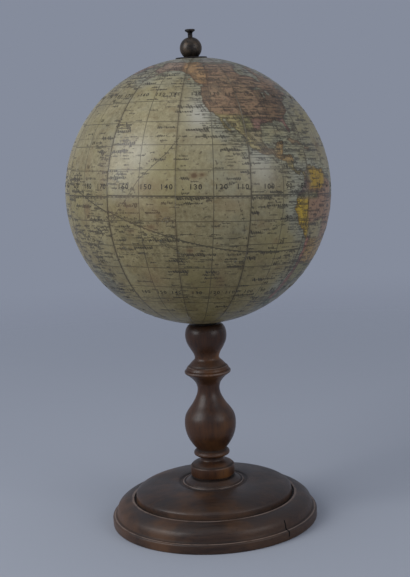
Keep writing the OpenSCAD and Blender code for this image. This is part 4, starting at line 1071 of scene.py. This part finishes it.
def engraving():
    """Ink, hand colour, yellowed varnish and stains, with painted glare and shade, from what each point of
    the paper keeps.
    """
    finish, shader, place = new_finish("printed_paper")

    def kept(name, out="Fac"):
        return place.node("ShaderNodeAttribute", {"attribute_name": name}, out=out)

    spot = kept("place", "Vector")
    lon, lat = (spot.node("ShaderNodeSeparateXYZ", {}, {0: spot}, out=k) for k in (0, 1))
    shore, edge, river, ridge, track = (kept(n) for n in ("shore", "edge", "river", "ridge", "track"))
    tone, stain, bleach, coast = (kept(n) for n in ("tone", "stain", "bleach", "coast"))
    wash = kept("wash", "Color")
    squeeze = (lat * math.radians(1)).cosine()
    shake = speckle(place, 700, 2) - 0.5
    mottle = speckle(place, 430, 3, 0.65)
    fibre = speckle(place, 1500, 3, 0.7)
    cloud = speckle(place, 15, 5, 0.6, 0.5)
    patchy = speckle(place, 62, 4, 0.62)
    land = shore.ramp(-0.08, 0.08)
    sea = 1 - land

    def line(distance, width, soft=0.14):
        return distance.ramp(width, width + soft, 1, 0)

    def grid(value, step):
        """Distance in degrees to the nearest multiple of step."""
        return abs((value / step + 0.5).fract() - 0.5) * step

    # Yellowed paper: greenish and brownish clouds, mottled by the rag and the old varnish
    mixed = cloud * 0.27 + patchy * 0.27 + mottle * 0.30 + fibre * 0.16
    stops = [(0.38, PAPER_DARK), (0.62, PAPER_PALE)]
    colour = mixed.node("ShaderNodeValToRGB", {"stops": stops}, {0: mixed})
    yellowed = speckle(place, 27, 4, 0.6).ramp(0.48, 0.66, 0, 0.55)
    colour = yellowed.tint(colour, YELLOWED)
    greyed = speckle(place, 33, 4, 0.6, 0.3).ramp(0.50, 0.68, 0, 0.45)
    colour = greyed.tint(colour, GREYED)
    browned = speckle(place, 120, 4, 0.7, 0.6).ramp(0.50, 0.72, 0, 0.55)
    colour = browned.tint(colour, BROWNED)
    # Darker and yellower towards the south: painted shade on the lower half, with yellowed varnish.
    colour = lat.ramp(14, -46, 0, 0.9).tint(colour, SOUTHWARD_SHADE_AND_YELLOWING, "MULTIPLY")

    # A thin blue-green wash in the sea along the coasts, and horizontal water lines
    near_land = coast.ramp(-6.5, -0.3) * sea
    wet = near_land * patchy.ramp(0.30, 0.66, 0.35, 1)
    colour = (wet * 0.45).tint(colour, SEA_WASH)
    pale = coast.ramp(-8.8, -2.5) * sea * speckle(place, 40, 3).ramp(0.42, 0.62)
    colour = (pale * 0.45).tint(colour, SEA_PALE)
    # Painted glare in the sea: reflections of windows in the varnish at three places in front, pale patches
    # elsewhere.
    colour = (bleach * sea).tint(colour, GLARE_AND_PALE_PAPER)
    broken = speckle(stretched(place, (130, 130, 1100)), 1.0, 2).ramp(0.36, 0.56)
    water = line(grid(lat + shake * 0.1, 1.12), 0.10, 0.22) * near_land.ramp(0.05, 0.8) * broken

    # Hand colour on the land, stronger along coasts and borders
    full = (mottle * 0.5 + patchy * 0.5).ramp(0.34, 0.62, 0.66, 1.0)
    colour = (land * full).tint(colour, wash)
    strong = (line(edge, 0.05, 0.9) * 0.4).larger(line(shore, 0.1, 1.1) * 0.35) * land
    colour = strong.tint(colour, wash, "MULTIPLY")
    colour = lat.ramp(CALOTTE_LAT - 0.4, CALOTTE_LAT + 0.4, 0, 0.62).tint(colour, POLAR_CAP)

    # Everything printed in ink
    graticule = line(grid(lon, 15) * squeeze, 0.09, 0.13).larger(line(grid(lat, 10), 0.09, 0.13))
    from_joint = grid(lon + 15, 30) * squeeze
    joint = line(from_joint, 0.09, 0.17) * patchy.ramp(0.36, 0.60, 0.72, 1.0)
    aside, above = lon - SLIT_AT[0], lat - SLIT_AT[1]
    gaping = line(from_joint, 0.12, 0.10) * (aside * aside + above * above).ramp(20, 40, 1, 0)
    slit = (line(from_joint, 0.05, 0.12) * speckle(place, 26, 2).ramp(0.54, 0.62)).larger(gaping)
    off_middle = abs(lat)
    rim = line(abs(off_middle - CALOTTE_LAT), 0.14, 0.22) * patchy.ramp(0.36, 0.60, 0.5, 1.0)
    circles = line(abs(off_middle - TROPIC), 0.06).larger(line(abs(off_middle - POLAR_CIRCLE), 0.06))
    circles = circles * grid(lon, 2.5).ramp(0.35, 0.45)
    off_equator = abs(lat + 0.28)
    scale_bar = line(off_equator, 0.12, 0.14).larger(line(abs(lat + 0.95), 0.05, 0.12) * 0.6)
    ticks = (lon * 0.5).fract().over(0.5) * abs(lat + 0.6).under(0.33)
    sun_tangent = (lon * math.radians(1)).sine() * math.tan(math.radians(TROPIC))
    off_sun = lat - sun_tangent.maths("ARCTANGENT") * math.degrees(1)
    sun_ticks = abs(off_sun + 0.3).under(0.3) * (lon * 0.5).fract().over(0.5)
    sun_path = line(abs(off_sun), 0.13, 0.18).larger(sun_ticks * 0.75)
    coast_line = line(abs(shore + shake * 0.4), 0.09, 0.20)
    coast_line = coast_line * speckle(place, 190, 3, 0.6).ramp(0.34, 0.56, 0.3, 1.0)
    borders = line(abs(edge), 0.07, 0.12) * land * grid(lon + lat, 0.9).ramp(0.12, 0.26)
    rivers = line(river + abs(shake) * 0.5, 0.08, 0.16) * land
    peaks = line(ridge, 0.8, 0.4) * grid(lon + lat * 0.8 + shake * 0.8, 0.95).ramp(0.14, 0.32, 1, 0) * land
    sailed = line(track + abs(shake) * 0.3, 0.11, 0.18) * speckle(place, 240, 2).ramp(0.32, 0.46)

    def script(row_height, letter, word, slant, fill, seed):
        """Rows of slanted strokes that read as small handwriting, with nothing written."""

        def dice(cell, out="Value"):
            return cell.node("ShaderNodeTexWhiteNoise", {"noise_dimensions": "3D"}, {"Vector": cell}, out=out)

        row = (lat / row_height).floor()
        middle = (row + 0.5) * row_height
        across = lon * (middle * math.radians(1)).cosine()
        height = (lat - middle) / row_height
        one_way = {"noise_dimensions": "1D"}
        shift = row.node("ShaderNodeTexWhiteNoise", one_way, {"W": row + seed}, out="Value")
        run = across / word + shift * 7
        cell, inner = run.floor(), run.fract()
        both = cell.node("ShaderNodeCombineXYZ", {}, {0: cell, 1: row, 2: seed})
        chance, extra = dice(both), dice(both, "Color")
        length, drop = (extra.node("ShaderNodeSeparateColor", {}, {0: extra}, out=k) for k in (1, 2))
        here = chance.under(fill) * inner.over(0.05) * (length * 0.55 + 0.35 - inner).over(0)
        height = height + (drop - 0.5) * 0.3
        pen = (across + height * row_height * slant) / letter
        key = pen.node("ShaderNodeCombineXYZ", {}, {0: pen.floor(), 1: row, 2: seed + 3})
        tall = dice(key)
        reach = tall.ramp(0.45, 0.95, 0.14, 0.36)
        from_stem = abs(pen.fract() - 0.5)
        strokes = line(from_stem, 0.15, 0.14) * (reach - abs(height + 0.04)).over(0)
        loops = line(abs(from_stem - 0.30), 0.07, 0.10) * (tall * 0.24 - abs(height + 0.03)).over(0)
        join = line(abs(height + 0.13), 0.04, 0.07) * tall.over(0.2)
        return strokes.larger(loops * 0.9).larger(join * 0.75) * here

    isles = speckle(place, 21, 3).ramp(0.40, 0.60)
    crowd = (shore.ramp(-9, -1.5, 0.14, 0.80) * sea).larger(land * 1.1)
    by_shore = line(abs(shore), 0.9, 1.3) * isles.ramp(0, 1, 0.5, 0.95)
    names = script(2.75, 1.02, 15, 0.5, crowd * 0.42 + isles * 0.20, 5)
    words = script(1.9, 0.74, 9, 0.5, crowd * 0.55 + isles * 0.16, 17)
    small = script(1.25, 0.50, 6, 0.5, crowd * isles.ramp(0, 1, 0.4, 1.0), 11)
    ports = script(0.95, 0.42, 3.4, 0.5, by_shore, 31)
    near_track = script(1.6, 0.7, 6, 0.4, track.ramp(0.3, 1.6, 0.75, 0), 23)
    hills = speckle(stretched(place, (430, 430, 620)), 1.0, 3, 0.7).ramp(0.54, 0.64) * land
    hills = hills * patchy.ramp(0.36, 0.58, 0.3, 1.0)
    ink = graticule * 0.78
    for mark, strength in (
        (joint, 0.84), (rim, 0.60), (circles, 0.55), (scale_bar, 0.94), (ticks, 0.66), (sun_path, 0.90),
        (coast_line, 0.80), (borders, 0.60), (rivers, 0.76), (peaks, 0.80), (hills, 0.62), (sailed, 0.82),
        (names, 0.97), (words, 0.94), (small, 0.86), (ports, 0.86), (near_track, 0.88), (water, 0.62),
    ):
        ink = ink.larger(mark * strength)
    pressed = fibre.ramp(0.34, 0.58, 0.74, 1.0) * mottle.ramp(0.34, 0.56, 0.80, 1.0)
    colour = (ink * pressed).tint(colour, MAP_INK)
    colour = (slit * 0.75).tint(colour, OPEN_JOINT)

    # Age: spills and foxing, rubbed places, specks and dirt along the joints
    foxing = speckle(place, 9, 4, 0.6).ramp(0.56, 0.74) * speckle(place, 48, 4, 0.7).ramp(0.42, 0.66)
    soaked = (stain * patchy.ramp(0.28, 0.60, 0.35, 1.15)).larger(foxing * 0.55)
    colour = (soaked * 0.76).tint(colour, SPILL)
    colour = stain.ramp(0.62, 0.95, 0, 0.5).tint(colour, SPILL_CORE)
    rubbed = speckle(place, 30, 5, 0.7, 0.8).ramp(0.60, 0.72) * fibre.ramp(0.4, 0.6)
    colour = (rubbed * 0.35).tint(colour, RUBBED_PAPER)
    flecks = speckle(place, 520, 2, 0.5).ramp(0.62, 0.72)
    colour = (flecks * 0.65).tint(colour, FLECK)
    grime = line(from_joint, 0.1, 1.1) * patchy.ramp(0.32, 0.58, 0.2, 1)
    colour = (grime * 0.42).tint(colour, GRIME)
    shade = tone.node("ShaderNodeCombineColor", {}, {0: tone, 1: tone, 2: tone * 0.97})
    blend = {"data_type": "RGBA", "blend_type": "MULTIPLY"}
    colour = shade.node("ShaderNodeMix", blend, {0: 1.0, 6: colour, 7: shade}, out=2)
    colour.feed(shader.inputs["Base Color"])
    (patchy.ramp(0.3, 0.7, 0.38, 0.54) + rubbed * 0.12).feed(shader.inputs["Roughness"])
    shader.inputs["Coat Weight"].default_value = 0.22
    shader.inputs["Coat Roughness"].default_value = 0.30
    raise_grain(shader, fibre * 0.3 + mottle * 0.5 + patchy - ink * 0.2, 0.14 * MM)
    return finish


def paper_tree():
    """The rule for one strip of the print: a grid of places, turned round the ball and leaned."""
    tree = bpy.data.node_groups.new("gore sheet", "GeometryNodeTree")
    sockets = {}
    for name, kind, value in (
        ("Columns", "Int", 65), ("Rows", "Int", 321), ("West edge", "Float", 0.0), ("Width", "Float", 30.0),
        ("South edge", "Float", -70.0), ("North edge", "Float", 70.0), ("Turn of the print", "Float", 0.0),
        ("Lean to the east", "Float", 0.0), ("Lean to the front", "Float", 0.0), ("Radius", "Float", 0.08),
        ("Height of the centre", "Float", 0.2), ("Cockle", "Float", 0.0), ("Lifted edge", "Float", 0.0),
    ):
        made = tree.interface.new_socket(name, in_out="INPUT", socket_type=f"NodeSocket{kind}")
        made.default_value = value
        sockets[name] = made.identifier
    made = tree.interface.new_socket("Paper", in_out="INPUT", socket_type="NodeSocketMaterial")
    sockets["Paper"] = made.identifier
    tree.interface.new_socket("Sheet", in_out="OUTPUT", socket_type="NodeSocketGeometry")
    given = tree.nodes.new("NodeGroupInput")
    size = {name: Wire(tree, given.outputs[name]) for name in sockets}
    at = Wire(tree, tree.nodes.new("GeometryNodeInputPosition").outputs[0])
    x, y = (at.node("ShaderNodeSeparateXYZ", {}, {0: at}, out=k) for k in (0, 1))
    counts = {"Size X": 1, "Size Y": 1, "Vertices X": size["Columns"], "Vertices Y": size["Rows"]}
    sheet = at.node("GeometryNodeMeshGrid", {}, counts)
    lon = size["West edge"] + (x + 0.5) * size["Width"]
    lat = size["South edge"] + (y + 0.5) * (size["North edge"] - size["South edge"])
    place = at.node("ShaderNodeCombineXYZ", {}, {0: lon, 1: lat})
    store = {"data_type": "FLOAT_VECTOR", "domain": "POINT"}
    values = {"Geometry": sheet, "Name": "place", "Value": place}
    sheet = at.node("GeometryNodeStoreNamedAttribute", store, values)
    east, up = (lon + size["Turn of the print"]) * math.radians(1), lat * math.radians(1)
    flat = up.cosine()
    values = {0: flat * east.cosine(), 1: flat * east.sine(), 2: up.sine()}
    aim = at.node("ShaderNodeCombineXYZ", {}, values)
    for axis, lean in (("X_AXIS", "Lean to the front"), ("Y_AXIS", "Lean to the east")):
        aim = at.node("ShaderNodeVectorRotate", {"rotation_type": axis}, {"Vector": aim, "Angle": size[lean]})
    ripple = at.node("ShaderNodeTexNoise", {}, {"Vector": aim, "Scale": 9.0, "Detail": 2.0})
    crest = at.node("ShaderNodeTexNoise", {}, {"Vector": aim, "Scale": 23.0, "Detail": 1.0})
    from_edge = (0.5 - abs(x)) * size["Width"] * flat
    lifted = from_edge.ramp(0.0, 1.1, 1, 0) * crest.ramp(0.45, 0.65)
    reach = size["Radius"] + (ripple - 0.5) * size["Cockle"] + lifted * size["Lifted edge"]
    out = at.node("ShaderNodeVectorMath", {"operation": "SCALE"}, {0: aim, "Scale": reach})
    centre = at.node("ShaderNodeCombineXYZ", {}, {2: size["Height of the centre"]})
    out = at.node("ShaderNodeVectorMath", {"operation": "ADD"}, {0: out, 1: centre})
    sheet = at.node("GeometryNodeSetPosition", {}, {"Geometry": sheet, "Position": out})
    sheet = at.node("GeometryNodeRealizeInstances", {}, {"Geometry": sheet})
    sheet = at.node("GeometryNodeSetMaterial", {}, {"Geometry": sheet, "Material": size["Paper"]})
    sheet.feed(tree.nodes.new("NodeGroupOutput").inputs["Sheet"])
    return tree, sockets


def settle(piece):
    """Turns what the modifiers make into the piece's plain mesh."""
    made = plain_mesh(piece)
    piece.modifiers.clear()
    piece.data = made
    made.shade_smooth()
    made.set_sharp_from_angle(angle=math.radians(50))


def thicken(piece):
    """Gives a sheet the thickness of its paper, inwards from the printed face."""
    wall = piece.modifiers.new("paper", "SOLIDIFY")
    wall.thickness, wall.offset = PAPER, -1


paper_finish = engraving()
gore_tree, gore_sockets = paper_tree()
chance = np.random.default_rng(GORE_SEED)
SLIPS = {10: (0.1, 0.6), 11: (-0.1, 0.05), 12: (0.05, 0.15), 1: (0.0, -0.15), 2: (0.1, 0.1)}
TONES = {10: 0.90, 11: 1.05, 12: 0.98, 1: 0.95, 2: 0.92}
COCKLE, LIFTED = 0.10 * MM, 0.16 * MM
gap = math.degrees(JOINT_GAP / 2 / GLOBE_R)
for i in range(1, GORES + 1):
    name = f"gore_{i:02d}"
    gore = placed(f"paper_{name}", bpy.data.meshes.new(name))
    strip = gore.modifiers.new("strip", "NODES")
    strip.node_group = gore_tree
    west = LON_AT_FIRST_JOINT + i * GORE_WIDTH
    edge_lat = CALOTTE_LAT - gap
    for socket, value in (
        ("West edge", west + gap), ("Width", GORE_WIDTH - 2 * gap), ("South edge", -edge_lat),
        ("North edge", edge_lat), ("Turn of the print", FIRST_JOINT - LON_AT_FIRST_JOINT),
        ("Lean to the east", LEAN_X), ("Lean to the front", LEAN_Y), ("Radius", GLOBE_R),
        ("Height of the centre", globe_z), ("Cockle", COCKLE), ("Lifted edge", LIFTED),
        ("Paper", paper_finish),
    ):
        strip[gore_sockets[socket]] = value
    thicken(gore)
    settle(gore)
    own = read(gore.data.attributes["place"].data, "vector", 3)
    lay_out(gore.data, (own[:, 0] - west) / GORE_WIDTH, own[:, 1] / CALOTTE_LAT / 2 + 0.5)
    random_slip, random_tone = chance.uniform(-0.2, 0.2, 2), chance.uniform(0.93, 1.04)
    draw_map(gore.data, SLIPS.get(i, random_slip), TONES.get(i, random_tone))
    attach(gore, "globe")
    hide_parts(name)


# The calottes: two round papers over the points of the gores, each pierced for the brass bush. They
# carry the ends of the polar seas, and hide how the points of the gores meet. The upper pole is
# pressed flat under its washer.
HOLE_R = 5.06 * MM
AROUND, DEEP = 180, 40


def calotte(name, node, side, tone):
    """A disc of paper from its rim on the leaning print to the hole round the upright pin."""

    def circle(angles, reach):
        """Directions on a circle round the pole of this side; reach is its radius on a unit ball."""
        height = np.full(AROUND, side * math.sqrt(1 - reach**2))
        return np.column_stack((reach * np.cos(angles), reach * np.sin(angles), height))

    rim = circle(np.radians(np.arange(AROUND) * 360 / AROUND), math.cos(math.radians(CALOTTE_LAT)))
    rim = rim @ np.array(print_turn).T
    hole = circle(np.arctan2(rim[:, 1], rim[:, 0]), HOLE_R / GLOBE_R)
    inward = np.linspace(0, 1, DEEP)[:, None, None]
    aims = (rim * (1 - inward) + hole * inward).reshape(-1, 3)
    aims /= np.linalg.norm(aims, axis=1)[:, None]
    index = np.arange(DEEP * AROUND).reshape(DEEP, AROUND)
    following = np.roll(index, -1, axis=1)
    faces = np.stack((index[:-1], following[:-1], following[1:], index[1:]), axis=-1).reshape(-1, 4)
    if side < 0:
        faces = faces[:, ::-1]
    mesh = bpy.data.meshes.new(name)
    spots = aims * GLOBE_R
    spots[:, 2] = np.minimum(spots[:, 2], GLOBE_R - POLE_LOSS)
    mesh.from_pydata((spots + (0, 0, globe_z)).tolist(), [], faces.tolist())
    mesh.materials.append(paper_finish)
    local = aims @ np.array(print_turn)
    lat = np.degrees(np.arcsin(np.clip(local[:, 2], -1, 1)))
    lon = np.degrees(np.arctan2(local[:, 1], local[:, 0])) + LON_AT_FIRST_JOINT - FIRST_JOINT
    keep(mesh, "place", np.column_stack((lon, lat, 0 * lon)), "FLOAT_VECTOR", "vector")
    cap = placed(name, mesh)
    thicken(cap)
    settle(cap)
    draw_map(cap.data, (0, 0), tone)
    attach(cap, "globe")
    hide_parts(node)


calotte("paper_south_calotte", "south_calotte", -1, 0.92)
calotte("paper_north_calotte", "north_calotte", 1, 0.96)


# The degree numerals: plain figures above the equator, in one row north and one south of it, and up
# four meridians, in the place of the printed names. They are laid over the paper as the thinnest
# film of printer's ink.
INK_ABOVE, INK_DEEP = 0.05 * MM, 0.05 * MM
CAPITALS = 1.42  # size of the letters for figures one unit high
ROWS = ((2.4, 2.05), (42.9, 1.7), (-44.2, 1.7))  # latitude of a row, and the height of its figures
ink_finish = two_tone(
    "printers_ink", (900, 3, 0.65), (0.38, 0.62), ((0.014, 0.011, 0.008), (0.050, 0.040, 0.027)),
    rough=(0.45, 0.6), depth=0.03 * MM)

marks = []
for lon in range(0, 360, 10):
    beside = 1.5 if lon % 30 == 10 else 2.9  # closer to its line where a joint comes next
    marks += [(round(abs((lon + 180) % 360 - 180)), lon + beside, lat, tall) for lat, tall in ROWS]
for lon in range(0, 360, 90):
    marks += [(abs(lat), lon + 1.9, lat + 0.45, 1.3) for lat in range(-60, 61, 10) if lat]
numerals = bmesh.new()
for number, lon, lat, tall in marks:
    text = bpy.data.curves.new("figure", "FONT")
    text.body, text.size, text.align_x = str(number), tall * CAPITALS, "CENTER"
    text.extrude, text.resolution_u, text.space_character, text.offset = 0.5, 3, 1.25, 0.025
    figure = placed("figure", text)
    flat = plain_mesh(figure)
    points = read(flat.vertices, "co", 3)
    up = lat + points[:, 1]
    across = lon + points[:, 0] / np.cos(np.radians(up))
    high = GLOBE_R + INK_ABOVE + (points[:, 2] - 0.5) * INK_DEEP
    a, b = np.radians(across - LON_AT_FIRST_JOINT + FIRST_JOINT), np.radians(up)
    aim = np.column_stack((np.cos(b) * np.cos(a), np.cos(b) * np.sin(a), np.sin(b))) @ np.array(print_turn).T
    flat.vertices.foreach_set("co", (aim * high[:, None] + (0, 0, globe_z)).ravel())
    numerals.from_mesh(flat)
    bpy.data.objects.remove(figure)
    bpy.data.curves.remove(text)
    bpy.data.meshes.remove(flat)
bmesh.ops.remove_doubles(numerals, verts=numerals.verts, dist=0.002 * MM)
bmesh.ops.recalc_face_normals(numerals, faces=numerals.faces)
figures_mesh = bpy.data.meshes.new("degree_numerals")
numerals.to_mesh(figures_mesh)
numerals.free()
figures_mesh.materials.append(ink_finish)
figures = placed("degree_numerals", figures_mesh)
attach(figures, "globe")
